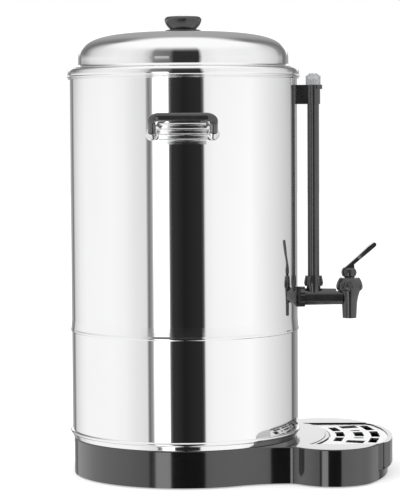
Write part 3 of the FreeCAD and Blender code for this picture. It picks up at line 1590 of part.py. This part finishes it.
base_housing()
bottom_cover()
rubber_feet()
cover_screws()
drip_tray()
drip_grille()
bottom_ring()
bottom_pan()
lower_shell()
upper_shell()
inner_tank()
rim_collar()
heat_shield()
heater_plate()
heating_element()
thermostat()
thermal_cutout()
terminal_block()
power_inlet()
inlet_pins()
switch_frame()
switch_rocker()
pilot_lamp()
lid_shell()
lid_knob()
knob_washer()
knob_screw()
for name, side in (("near", -1), ("far", 1)):
    handle_grip(f"handle_grip_{name}", side)
    handle_bracket(f"handle_bracket_{name}", side)
handle_screws()
ring_on_pipe("tap_gasket", s.gasket_radius, s.tank_radius + 0.3, s.gasket_outer_reach)
ring_on_pipe("tap_wall_nut", s.wall_nut_radius, s.gasket_outer_reach + 0.1, s.pipe_start,
             kind="fluted")
tank_face = s.inner_radius - s.shell_wall - 1.2
nut_face = tank_face - s.tank_gasket_width
ring_on_pipe("tank_gasket", s.gasket_radius, nut_face, tank_face)
ring_on_pipe("lock_nut", s.lock_nut_radius, nut_face - s.lock_nut_width, nut_face,
             kind="hexagon")
tap_shank()
tap_body()
tap_bonnet()
tap_collar()
lever_pin()
tap_lever()
tap_stem()
seat_cup()
return_spring()
gauge_nut()
gauge_seal()
gauge_tube()
gauge_shield()
gauge_cap()
gauge_bracket()
bracket_screw()

document.recompute()
faults = [item.Label for item in document.Objects
          if "Invalid" in item.State or "Error" in item.State]
for piece in pieces:
    if piece.Shape.isNull() or not piece.Shape.isValid() or not piece.Shape.Solids:
        faults.append(piece.Label + " has no valid shape")
if faults:
    raise RuntimeError("these objects failed: " + ", ".join(faults))
os.makedirs("parts", exist_ok=True)
for piece in pieces:
    piece.Shape.exportStep(f"parts/{piece.Label}.step")
print(len(pieces), "pieces written")
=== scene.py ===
"""Looks of the hot water urn: materials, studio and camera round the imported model."""
import json
import math
import bmesh
import bpy
from mathutils import Matrix, Vector


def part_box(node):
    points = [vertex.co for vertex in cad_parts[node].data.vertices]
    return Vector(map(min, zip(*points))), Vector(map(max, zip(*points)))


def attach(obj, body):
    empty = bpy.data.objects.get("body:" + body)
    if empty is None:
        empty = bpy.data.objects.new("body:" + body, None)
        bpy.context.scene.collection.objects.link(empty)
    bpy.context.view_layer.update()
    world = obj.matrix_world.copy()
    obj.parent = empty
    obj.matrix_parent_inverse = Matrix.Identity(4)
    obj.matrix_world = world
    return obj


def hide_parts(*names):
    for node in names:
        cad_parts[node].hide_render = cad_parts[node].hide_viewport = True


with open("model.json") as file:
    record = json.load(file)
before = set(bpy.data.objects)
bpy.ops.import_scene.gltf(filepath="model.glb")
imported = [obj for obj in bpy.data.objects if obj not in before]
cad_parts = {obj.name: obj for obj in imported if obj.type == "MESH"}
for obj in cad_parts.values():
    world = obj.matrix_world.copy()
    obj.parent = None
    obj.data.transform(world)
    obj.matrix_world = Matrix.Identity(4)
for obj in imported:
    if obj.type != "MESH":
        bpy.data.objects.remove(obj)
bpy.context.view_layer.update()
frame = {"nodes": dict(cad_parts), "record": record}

nodes = frame["nodes"]

# Camera, found by fitting the ellipses and edges of the photograph
FOCAL_PIXELS = 2097.5
IMAGE_HEIGHT = 500
SENSOR = 36.0
CAMERA_PLACE = Vector((-0.03583, -2.4678, 0.4187))
CAMERA_PITCH = math.radians(3.637)
CAMERA_ROLL = math.radians(-0.35)
CLIP_NEAR = 0.1
CLIP_FAR = 60


def add_camera():
    data = bpy.data.cameras.new("camera")
    data.sensor_width = SENSOR
    data.lens = FOCAL_PIXELS * SENSOR / IMAGE_HEIGHT
    data.clip_start = CLIP_NEAR
    data.clip_end = CLIP_FAR
    camera = bpy.data.objects.new("camera", data)
    bpy.context.scene.collection.objects.link(camera)
    tilt = Matrix.Rotation(math.pi / 2 - CAMERA_PITCH, 4, "X")
    roll = Matrix.Rotation(CAMERA_ROLL, 4, "Z")
    camera.matrix_world = Matrix.Translation(CAMERA_PLACE) @ tilt @ roll
    bpy.context.scene.camera = camera


# Materials. Most of a noise lies between these two values.
NOISE_LOW = 0.3
NOISE_HIGH = 0.7


def new_material(name):
    material = bpy.data.materials.new(name)
    material.use_nodes = True
    tree = material.node_tree
    return material, tree, tree.nodes["Principled BSDF"]


def new_metal(name):
    material, tree, bsdf = new_material(name)
    bsdf.inputs["Metallic"].default_value = 1.0
    return material, tree, bsdf


def link(tree, source, output, target, socket):
    tree.links.new(source.outputs[output], target.inputs[socket])


def object_space(tree, scale=(1, 1, 1)):
    """Object coordinates, stretched along each axis."""
    coordinates = tree.nodes.new("ShaderNodeTexCoord")
    mapping = tree.nodes.new("ShaderNodeMapping")
    mapping.inputs["Scale"].default_value = scale
    link(tree, coordinates, "Object", mapping, "Vector")
    return mapping


def noise(tree, place, scale, detail=3.0):
    texture = tree.nodes.new("ShaderNodeTexNoise")
    texture.inputs["Scale"].default_value = scale
    texture.inputs["Detail"].default_value = detail
    link(tree, place, "Vector", texture, "Vector")
    return texture


def spread(tree, texture, bsdf, socket, low, high):
    """Maps a noise onto a range of a socket."""
    span = tree.nodes.new("ShaderNodeMapRange")
    span.inputs["From Min"].default_value = NOISE_LOW
    span.inputs["From Max"].default_value = NOISE_HIGH
    span.inputs["To Min"].default_value = low
    span.inputs["To Max"].default_value = high
    link(tree, texture, "Fac", span, "Value")
    link(tree, span, "Result", bsdf, socket)


def tint(tree, texture, bsdf, dark, light):
    """Colours a material between two tones by a noise."""
    ramp = tree.nodes.new("ShaderNodeValToRGB")
    stops = ramp.color_ramp.elements
    for stop, place, tone in zip(stops, (NOISE_LOW, NOISE_HIGH), (dark, light)):
        stop.position = place
        stop.color = (*tone, 1)
    link(tree, texture, "Fac", ramp, "Fac")
    link(tree, ramp, "Color", bsdf, "Base Color")


def bump(tree, texture, bsdf, strength, distance):
    relief = tree.nodes.new("ShaderNodeBump")
    relief.inputs["Strength"].default_value = strength
    relief.inputs["Distance"].default_value = distance
    link(tree, texture, "Fac", relief, "Height")
    link(tree, relief, "Normal", bsdf, "Normal")


def polished_steel():
    """Mirror-polished sheet: faint smears, and a very slight waviness from rolling."""
    material, tree, bsdf = new_metal("polished_steel")
    smears = noise(tree, object_space(tree, (1, 1, 0.4)), 14, 5)
    spread(tree, smears, bsdf, "Roughness", 0.025, 0.055)
    tint(tree, smears, bsdf, (0.915, 0.915, 0.92), (0.935, 0.935, 0.94))
    waves = noise(tree, object_space(tree, (1, 1, 0.25)), 9, 1)
    bump(tree, waves, bsdf, 0.05, 0.0006)
    return material


def satin_tank_steel():
    """The inside of the tank: deep-drawn sheet that isn't polished, so that light spreads in it."""
    material, tree, bsdf = new_metal("satin_tank_steel")
    grain = noise(tree, object_space(tree, (1, 1, 0.1)), 300, 3)
    spread(tree, grain, bsdf, "Roughness", 0.38, 0.5)
    tint(tree, grain, bsdf, (0.84, 0.84, 0.85), (0.9, 0.9, 0.905))
    return material


def bracket_steel():
    material, tree, bsdf = new_metal("bracket_steel")
    grain = noise(tree, object_space(tree, (0.2, 1, 1)), 900, 3)
    spread(tree, grain, bsdf, "Roughness", 0.12, 0.22)
    tint(tree, grain, bsdf, (0.78, 0.78, 0.79), (0.86, 0.86, 0.87))
    bump(tree, grain, bsdf, 0.1, 0.0001)
    return material


def plain_steel():
    material, tree, bsdf = new_metal("plain_steel")
    grain = noise(tree, object_space(tree, (1, 1, 0.1)), 400, 4)
    spread(tree, grain, bsdf, "Roughness", 0.3, 0.45)
    tint(tree, grain, bsdf, (0.5, 0.5, 0.51), (0.62, 0.62, 0.63))
    bump(tree, grain, bsdf, 0.2, 0.0001)
    return material


def grille_steel():
    """Bright satin plate with a fine grain along X."""
    material, tree, bsdf = new_metal("grille_steel")
    grain = noise(tree, object_space(tree, (0.08, 1, 1)), 1500, 2)
    spread(tree, grain, bsdf, "Roughness", 0.16, 0.28)
    tint(tree, grain, bsdf, (0.86, 0.86, 0.87), (0.93, 0.93, 0.935))
    bump(tree, grain, bsdf, 0.08, 0.0001)
    return material


def base_plastic():
    """Glossy black moulding: a lacquer-like skin over a very slightly uneven surface."""
    material, tree, bsdf = new_material("base_plastic")
    skin = noise(tree, object_space(tree), 30, 4)
    spread(tree, skin, bsdf, "Roughness", 0.07, 0.12)
    tint(tree, skin, bsdf, (0.006, 0.006, 0.0065), (0.009, 0.009, 0.0095))
    bsdf.inputs["IOR"].default_value = 1.7
    bsdf.inputs["Coat Weight"].default_value = 0.6
    bsdf.inputs["Coat Roughness"].default_value = 0.04
    bsdf.inputs["Coat IOR"].default_value = 1.6
    waves = noise(tree, object_space(tree), 60, 2)
    bump(tree, waves, bsdf, 0.04, 0.0005)
    return material


def black_plastic():
    """Satin black heat-proof moulding with a fine grain."""
    material, tree, bsdf = new_material("black_plastic")
    grain = noise(tree, object_space(tree), 1800, 2)
    cloud = noise(tree, object_space(tree), 60, 3)
    spread(tree, cloud, bsdf, "Roughness", 0.13, 0.2)
    tint(tree, cloud, bsdf, (0.022, 0.022, 0.023), (0.034, 0.034, 0.035))
    bsdf.inputs["IOR"].default_value = 1.6
    bsdf.inputs["Coat Weight"].default_value = 0.5
    bsdf.inputs["Coat Roughness"].default_value = 0.12
    bump(tree, grain, bsdf, 0.12, 0.0001)
    return material


def electrical_plastic():
    material, tree, bsdf = new_material("electrical_plastic")
    grain = noise(tree, object_space(tree), 1500, 2)
    spread(tree, grain, bsdf, "Roughness", 0.4, 0.55)
    tint(tree, grain, bsdf, (0.018, 0.018, 0.019), (0.03, 0.03, 0.031))
    bump(tree, grain, bsdf, 0.2, 0.0001)
    return material


def pin_brass():
    material, tree, bsdf = new_metal("pin_brass")
    grain = noise(tree, object_space(tree), 700, 3)
    spread(tree, grain, bsdf, "Roughness", 0.18, 0.3)
    tint(tree, grain, bsdf, (0.72, 0.6, 0.36), (0.82, 0.7, 0.45))
    return material


def lamp_lens():
    """Red lens under a clear coat."""
    material, tree, bsdf = new_material("lamp_lens")
    cloud = noise(tree, object_space(tree), 300, 2)
    tint(tree, cloud, bsdf, (0.5, 0.03, 0.02), (0.62, 0.06, 0.035))
    spread(tree, cloud, bsdf, "Roughness", 0.1, 0.18)
    bsdf.inputs["Coat Weight"].default_value = 0.4
    return material


def feet_rubber():
    material, tree, bsdf = new_material("feet_rubber")
    grain = noise(tree, object_space(tree), 900, 4)
    spread(tree, grain, bsdf, "Roughness", 0.6, 0.8)
    tint(tree, grain, bsdf, (0.02, 0.02, 0.02), (0.035, 0.035, 0.035))
    bump(tree, grain, bsdf, 0.3, 0.0002)
    return material


def gauge_glass():
    material, tree, bsdf = new_material("gauge_glass")
    haze = noise(tree, object_space(tree), 80, 3)
    spread(tree, haze, bsdf, "Roughness", 0.02, 0.06)
    bsdf.inputs["Base Color"].default_value = (0.93, 0.96, 0.96, 1)
    bsdf.inputs["IOR"].default_value = 1.47
    bsdf.inputs["Transmission Weight"].default_value = 0.9
    return material


def clear_plastic():
    """Milky clear moulding of the gauge's cap."""
    material, tree, bsdf = new_material("clear_plastic")
    haze = noise(tree, object_space(tree), 200, 3)
    spread(tree, haze, bsdf, "Roughness", 0.12, 0.22)
    tint(tree, haze, bsdf, (0.62, 0.63, 0.64), (0.7, 0.71, 0.72))
    bsdf.inputs["IOR"].default_value = 1.49
    bsdf.inputs["Transmission Weight"].default_value = 0.45
    bsdf.inputs["Coat Weight"].default_value = 0.3
    return material


MAKERS = (polished_steel, bracket_steel, plain_steel, grille_steel, base_plastic, black_plastic,
          electrical_plastic, pin_brass, lamp_lens, feet_rubber, gauge_glass, clear_plastic)


def dress_nodes():
    """Gives each CAD node the material of its slot in the record, and the tank a satin inside."""
    materials = {maker.__name__: maker() for maker in MAKERS}
    for part in frame["record"]["subparts"]:
        node = nodes[part["node"]]
        material = materials[part["material_slot"]]
        if not node.material_slots:
            node.data.materials.append(None)
        for holder in node.material_slots:
            holder.link = "OBJECT"
            holder.material = material
    inside = satin_tank_steel()
    for holder in nodes["inner_tank"].material_slots:
        holder.material = inside
    return materials


# Turned sheet-metal pieces. Outlines are (radius, level) in millimetres round the tank's axis.
MM_PER_M = 1000
TURN_STEPS = 256
TURNED_CREASE = 40
LID_RADIUS = 123.1
LID_FOOT = 480.0
LID_APEX = 519.3
LID_ROUNDNESS = 3.3
LID_WALL = 1.0
LID_RINGS = 40
KNOB_SCREW_HOLE = 2.9
LID_FLARE = ((LID_RADIUS, LID_FOOT), (123.4, 478.6), (124.4, 477.4), (125.9, 476.85),
             (128.0, 476.8), (128.5, 476.3), (128.0, 475.8))
LID_SKIRT = ((122.6, 475.8), (122.6, 467.5), (121.6, 467.5), (121.6, 475.6))

COLLAR_OUTSIDE = (
    (127.0, 475.5), (130.5, 475.5), (132.5, 475.2), (133.8, 474.4), (134.6, 473.3), (135.0, 472.3),
    (135.3, 470.9), (135.5, 469.4), (135.55, 468.0), (135.3, 467.0), (135.7, 466.75),
    (136.15, 466.3), (136.35, 465.6), (136.1, 464.9), (135.3, 464.4), (134.9, 464.1),
    (135.2, 463.7), (135.2, 463.2), (134.6, 462.7), (133.1, 462.4),
)
COLLAR_INSIDE = ((133.1, 467.2), (124.6, 467.2), (124.6, 474.0))
RING_OUTSIDE = (
    (133.1, 53.4), (133.8, 53.35), (134.6, 53.0), (135.2, 52.4), (135.5, 51.5), (135.4, 50.6),
    (134.9, 49.8), (134.2, 49.4), (133.7, 48.8), (133.2, 47.6), (132.6, 46.2), (132.1, 45.0),
    (131.6, 43.9), (130.9, 43.5),
)
RING_INSIDE = ((118.0, 43.5), (118.0, 44.7), (126.4, 44.7), (128.0, 45.2), (130.5, 46.9),
               (132.2, 49.0), (133.1, 50.0))
SEAM_OUTSIDE = (
    (133.0, 182.5), (133.35, 177.5), (133.6, 174.5), (133.78, 172.4), (133.98, 171.5),
    (134.18, 170.6), (134.25, 169.7), (134.1, 169.0), (133.7, 168.5), (133.0, 168.1),
)
SEAM_INSIDE = ((132.9, 168.3), (132.9, 182.3))


def smooth_line(points, steps=4):
    """A Catmull-Rom line through the points."""
    padded = [points[0], *points, points[-1]]
    line = []
    for before, start, end, after in zip(padded, padded[1:], padded[2:], padded[3:]):
        for step in range(steps):
            t = step / steps
            line.append(tuple(
                0.5 * (2 * b + (c - a) * t + (2 * a - 5 * b + 4 * c - d) * t ** 2
                       + (3 * b - a - 3 * c + d) * t ** 3)
                for a, b, c, d in zip(before, start, end, after)))
    return line + [points[-1]]


def domed(inset):
    """The lid's wall and crown as one curve, from the hole for the knob's screw to the foot."""
    radius, apex = LID_RADIUS - inset, LID_APEX - inset
    line = []
    for number in range(LID_RINGS + 1):
        turn = math.pi / 2 * number / LID_RINGS
        reach = radius * math.sin(turn) ** (2 / LID_ROUNDNESS)
        rise = (apex - LID_FOOT) * math.cos(turn) ** (2 / LID_ROUNDNESS)
        if reach > KNOB_SCREW_HOLE:
            line.append((reach, LID_FOOT + rise))
    return [(KNOB_SCREW_HOLE, apex)] + line


def turned(name, outline, body, materials, replaced):
    """Turns a closed outline round the tank's axis."""
    low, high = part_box("knob_washer")
    axis = (low[0] + high[0]) / 2
    mesh = bpy.data.meshes.new(name)
    places = []
    for step in range(TURN_STEPS):
        angle = 2 * math.pi * step / TURN_STEPS
        places += [(axis + r * math.cos(angle) / MM_PER_M, r * math.sin(angle) / MM_PER_M,
                    z / MM_PER_M) for r, z in outline]
    count = len(outline)
    faces = []
    for step in range(TURN_STEPS):
        this, following = step * count, (step + 1) % TURN_STEPS * count
        faces += [(this + i, this + (i + 1) % count, following + (i + 1) % count, following + i)
                  for i in range(count)]
    mesh.from_pydata(places, [], faces)
    work = bmesh.new()
    work.from_mesh(mesh)
    bmesh.ops.recalc_face_normals(work, faces=work.faces)
    work.to_mesh(mesh)
    work.free()
    add_piece(name, mesh, body, "polished_steel", materials, replaced, TURNED_CREASE)


def add_sheet_metal(materials):
    """The lid, the rolled collar, the ring under the tank and the bead between the shells."""
    lid = domed(0)[:-1] + smooth_line(LID_FLARE) + list(LID_SKIRT) + domed(LID_WALL)[::-1]
    turned("lid_dome", lid, "lid", materials, "lid_shell")
    for name, outside, inside, replaced in (
            ("rolled_collar", COLLAR_OUTSIDE, COLLAR_INSIDE, "rim_collar"),
            ("tank_ring", RING_OUTSIDE, RING_INSIDE, "bottom_ring"),
            ("seam_bead", SEAM_OUTSIDE, SEAM_INSIDE, None)):
        turned(name, smooth_line(outside) + list(inside), "urn", materials, replaced)


# The drip tray and its grille, drawn again from the CAD meshes with the front corners faired
# into the shelf's side and with the wider slots of the photograph. Millimetres.
CORNER_START = (163.9, 83.1)
CORNER_MIDDLE = (174.8, 74.6)
CORNER_END = (181.2, 61.7)
CORNER_POINTS = (CORNER_START, CORNER_MIDDLE, CORNER_END)
CORNER_CUTS = 14
SEARCH_STEPS = 30
SIDE_ZONE = 4.5
GRILLE_MARGIN = 1.9
SLOT_STRETCH = (1.1, 1.36)
UPRIGHT_NORMAL = 0.3
WELD_REACH_M = 1e-6
COPY_CREASE = 30


def bezier_weights(t):
    return (1 - t) ** 2, 2 * t * (1 - t), t * t


def corner_limit(x):
    """Half the tray's width at a place along the shelf."""
    low, high = 0.0, 1.0
    for _ in range(SEARCH_STEPS):
        t = (low + high) / 2
        reach = sum(w * p[0] for w, p in zip(bezier_weights(t), CORNER_POINTS))
        low, high = (t, high) if reach < x else (low, t)
    return sum(w * p[1] for w, p in zip(bezier_weights(low), CORNER_POINTS))


def copy_of(node):
    """The mesh of a node as a bmesh, welded, and cut across X where its corner will bend."""
    work = bmesh.new()
    work.from_mesh(nodes[node].data)
    bmesh.ops.remove_doubles(work, verts=work.verts, dist=WELD_REACH_M)
    for number in range(CORNER_CUTS):
        x = CORNER_START[0] + (CORNER_END[0] - CORNER_START[0]) * (number + 0.5) / CORNER_CUTS
        bmesh.ops.bisect_plane(work, geom=work.verts[:] + work.edges[:] + work.faces[:],
                               plane_co=(x / MM_PER_M, 0, 0), plane_no=(1, 0, 0))
    return work


def fair_corner(work, margin):
    """Pulls the front corners in to the corner's curve."""
    for vertex in work.verts:
        x, width = vertex.co.x * MM_PER_M, abs(vertex.co.y) * MM_PER_M
        if x <= CORNER_START[0] or x >= CORNER_END[0]:
            continue
        limit = corner_limit(x) - margin
        if width > CORNER_START[1] - SIDE_ZONE:
            limit -= CORNER_START[1] - margin - width
        vertex.co.y = math.copysign(min(width, limit) / MM_PER_M, vertex.co.y)


def stretch_slots(work):
    """Widens each slot about its own middle. The outline is the loop that reaches furthest."""
    walls = [face for face in work.faces if abs(face.normal.z) < UPRIGHT_NORMAL]
    group = {}

    def leader(vertex):
        while group.setdefault(vertex, vertex) is not vertex:
            vertex = group[vertex]
        return vertex

    for face in walls:
        first = leader(face.verts[0])
        for vertex in face.verts[1:]:
            group[leader(vertex)] = first
    loops = {}
    for vertex in list(group):
        loops.setdefault(leader(vertex), []).append(vertex)
    outline = max(loops.values(), key=lambda loop: max(abs(v.co.y) for v in loop))
    for loop in loops.values():
        if loop is outline:
            continue
        for axis, factor in enumerate(SLOT_STRETCH):
            values = [vertex.co[axis] for vertex in loop]
            middle = (min(values) + max(values)) / 2
            for vertex in loop:
                vertex.co[axis] = middle + (vertex.co[axis] - middle) * factor


def finish_copy(work, name, body, slot, materials, replaced):
    """Makes the drawn-again piece from its bmesh."""
    work.verts.index_update()
    mesh = bpy.data.meshes.new(name)
    mesh.from_pydata([vertex.co[:] for vertex in work.verts], [],
                     [[vertex.index for vertex in face.verts] for face in work.faces])
    work.free()
    add_piece(name, mesh, body, slot, materials, replaced, COPY_CREASE)


def add_piece(name, mesh, body, slot, materials, replaced, crease):
    """Adds a smooth-shaded piece that moves with a body, in place of a CAD node if one is named."""
    mesh.polygons.foreach_set("use_smooth", [True] * len(mesh.polygons))
    mesh.set_sharp_from_angle(angle=math.radians(crease))
    piece = bpy.data.objects.new(name, mesh)
    bpy.context.scene.collection.objects.link(piece)
    mesh.materials.append(materials[slot])
    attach(piece, body)
    if replaced:
        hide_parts(replaced)


def add_tray(materials):
    tray = copy_of("drip_tray")
    fair_corner(tray, 0)
    finish_copy(tray, "faired_tray", "tray", "base_plastic", materials, "drip_tray")
    grille = copy_of("drip_grille")
    fair_corner(grille, GRILLE_MARGIN)
    stretch_slots(grille)
    finish_copy(grille, "slotted_grille", "grille", "grille_steel", materials, "drip_grille")


# Studio. The shiny parts see cards round the urn: azimuth 0 is the camera's side, and it grows
# towards the tap. Each stop is (azimuth in degrees, brightness). The low ring stands at the
# level of the urn, the high ring over it, and the sky over both.
LOW_CARDS = (
    (-180, 0.42), (-160, 0.38), (-154, 0.16), (-151, 0.28), (-147, 0.66), (-130, 0.90),
    (-118, 0.98), (-78, 1.0), (-62, 0.95), (-50, 0.84), (-37.6, 0.77), (-36.3, 0.14),
    (-34.6, 0.14), (-33.6, 0.30), (-31.2, 0.33), (-30.2, 1.9), (-15.2, 1.9), (-14, 0.14),
    (-12, 0.035), (0, 0.014), (17, 0.025), (19.5, 0.06), (21.3, 0.9), (30, 0.98), (70, 1.04),
    (97, 0.84), (137.5, 0.56), (140, 0.28), (142.5, 0.10), (146, 0.20), (158, 0.38), (180, 0.42),
)
HIGH_CARDS = (
    (-180, 0.40), (-168, 0.38), (-155, 0.24), (-140, 0.17), (-130, 0.36), (-120, 0.63),
    (-105, 0.80), (-80, 0.92), (-60, 0.90), (-45, 0.80), (-36, 0.55), (-32, 0.22),
    (-14, 0.16), (-10, 0.03), (17, 0.03), (21, 0.85), (40, 0.95), (90, 0.90), (110, 0.75),
    (124, 0.60), (132, 0.28), (147, 0.18), (158, 0.28), (168, 0.38), (180, 0.40),
)
# Spans of the direction's height, from where one thing starts to where the next is full
CARDS_SPAN = (-0.03, 0.16)
SKY_START = (0.28, 0.72)
SKY_FULL = (0.85, 0.93)
SKY_BEND = 1.6
SKY_BRIGHTNESS = 1.05
STRIP_FOOT_SPAN = (0.05, 0.09)
STRIP_TOP_SPAN = (0.30, 0.18)
# Spans of how far a direction points away from the camera's side
BEHIND_SPAN = (0.25, 0.7)
STRIP_SIDE_SPAN = (0.90, 0.97)
BACK_STRIP_BRIGHTNESS = 1.32
PLAIN_LIGHT = 0.85
FLOOR_REACH = 9.0
FLOOR_GLOW = 0.45
KEY_PLACE = (-1.2, -1.6, 1.7)
KEY_TARGET = (0, 0, 0.3)
KEY_SIZE = (1.2, 1.2)
KEY_POWER = 14


def feed(tree, node, sockets, values):
    """Feeds a node's sockets with numbers or (node, output) pairs."""
    for socket, value in zip(sockets, values):
        if isinstance(value, tuple):
            tree.links.new(value[0].outputs[value[1]], node.inputs[socket])
        else:
            node.inputs[socket].default_value = value


def math_node(tree, operation, *values):
    node = tree.nodes.new("ShaderNodeMath")
    node.operation = operation
    feed(tree, node, range(len(values)), values)
    return node, 0


def smooth_between(tree, value, low, high):
    """Goes smoothly from 0 to 1 as the value passes from low to high."""
    node = tree.nodes.new("ShaderNodeMapRange")
    node.interpolation_type = "SMOOTHSTEP"
    feed(tree, node, ("Value", "From Min", "From Max"), (value, low, high))
    return node, 0


def blend(tree, factor, first, second):
    """Goes from first to second as the factor goes from 0 to 1."""
    node = tree.nodes.new("ShaderNodeMix")
    feed(tree, node, (0, 2, 3), (factor, first, second))
    return node, 0


def ring_of_cards(tree, turn, cards):
    """The brightness of a ring of cards at a share of the full turn."""
    ring = tree.nodes.new("ShaderNodeValToRGB")
    stops = ring.color_ramp.elements
    for number, (angle, brightness) in enumerate(cards):
        place = (angle + 180) / 360
        stop = stops[number] if number < 2 else stops.new(place)
        stop.position = place
        stop.color = (brightness, brightness, brightness, 1)
    feed(tree, ring, ("Fac",), (turn,))
    return math_node(tree, "MULTIPLY", (ring, "Color"), 1.0)


def add_world():
    """White to the camera, plain light to dull parts, and cards and sky to reflections."""
    world = bpy.data.worlds.new("studio")
    bpy.context.scene.world = world
    world.use_nodes = True
    tree = world.node_tree
    background = tree.nodes["Background"]
    background.inputs["Color"].default_value = (1, 1, 1, 1)
    coordinates = tree.nodes.new("ShaderNodeTexCoord")
    split = tree.nodes.new("ShaderNodeSeparateXYZ")
    link(tree, coordinates, "Generated", split, "Vector")
    toward = math_node(tree, "MULTIPLY", (split, "Y"), -1.0)
    azimuth = math_node(tree, "ARCTAN2", (split, "X"), toward)
    turn = math_node(tree, "MULTIPLY_ADD", azimuth, 1 / (2 * math.pi), 0.5)
    facing = math_node(tree, "COSINE", azimuth)
    away = math_node(tree, "MULTIPLY", facing, -1.0)
    behind = smooth_between(tree, away, *BEHIND_SPAN)
    low_ring = ring_of_cards(tree, turn, LOW_CARDS)
    high_ring = ring_of_cards(tree, turn, HIGH_CARDS)
    height = (split, "Z")
    cards = blend(tree, smooth_between(tree, height, *CARDS_SPAN), low_ring, high_ring)
    sky_start = blend(tree, behind, *SKY_START)
    sky_full = blend(tree, behind, *SKY_FULL)
    sky = math_node(tree, "POWER", smooth_between(tree, height, sky_start, sky_full), SKY_BEND)
    glossy = blend(tree, sky, cards, SKY_BRIGHTNESS)
    strip_foot = smooth_between(tree, height, *STRIP_FOOT_SPAN)
    strip_top = smooth_between(tree, height, *STRIP_TOP_SPAN)
    strip_side = smooth_between(tree, away, *STRIP_SIDE_SPAN)
    strip_band = math_node(tree, "MULTIPLY", strip_foot, strip_top)
    strip = math_node(tree, "MULTIPLY", strip_band, strip_side)
    glossy = blend(tree, strip, glossy, BACK_STRIP_BRIGHTNESS)
    path = tree.nodes.new("ShaderNodeLightPath")
    seen = blend(tree, (path, "Is Glossy Ray"), PLAIN_LIGHT, glossy)
    clear = blend(tree, (path, "Is Transmission Ray"), seen, 1.0)
    final = blend(tree, (path, "Is Camera Ray"), clear, 1.0)
    feed(tree, background, ("Strength",), (final,))


def add_floor():
    """A pale floor that keeps the shadow of the urn and meets the white surroundings unseen."""
    mesh = bpy.data.meshes.new("floor")
    corners = [(x * FLOOR_REACH, y * FLOOR_REACH, 0)
               for x, y in ((-1, -1), (1, -1), (1, 1), (-1, 1))]
    mesh.from_pydata(corners, [], [(0, 1, 2, 3)])
    floor = bpy.data.objects.new("floor", mesh)
    bpy.context.scene.collection.objects.link(floor)
    material, tree, bsdf = new_material("floor")
    mottle = noise(tree, object_space(tree), 3, 2)
    tint(tree, mottle, bsdf, (0.79, 0.79, 0.79), (0.81, 0.81, 0.81))
    spread(tree, mottle, bsdf, "Roughness", 0.9, 1.0)
    path = tree.nodes.new("ShaderNodeLightPath")
    lift = math_node(tree, "MULTIPLY", (path, "Is Camera Ray"), FLOOR_GLOW)
    bsdf.inputs["Emission Color"].default_value = (1, 1, 1, 1)
    feed(tree, bsdf, ("Emission Strength",), (lift,))
    mesh.materials.append(material)
    floor.visible_glossy = False


def add_lamp(name, place, target, size, power):
    """A soft rectangular lamp that reflections don't show."""
    data = bpy.data.lights.new(name, "AREA")
    data.shape = "RECTANGLE"
    data.size, data.size_y = size
    data.energy = power
    lamp = bpy.data.objects.new(name, data)
    bpy.context.scene.collection.objects.link(lamp)
    lamp.location = place
    lamp.rotation_mode = "QUATERNION"
    lamp.rotation_quaternion = (Vector(target) - Vector(place)).to_track_quat("-Z", "Y")
    lamp.visible_glossy = False


add_camera()
materials = dress_nodes()
add_sheet_metal(materials)
add_tray(materials)
add_world()
add_floor()
add_lamp("key", KEY_PLACE, KEY_TARGET, KEY_SIZE, KEY_POWER)
bpy.context.scene.view_settings.view_transform = "Standard"
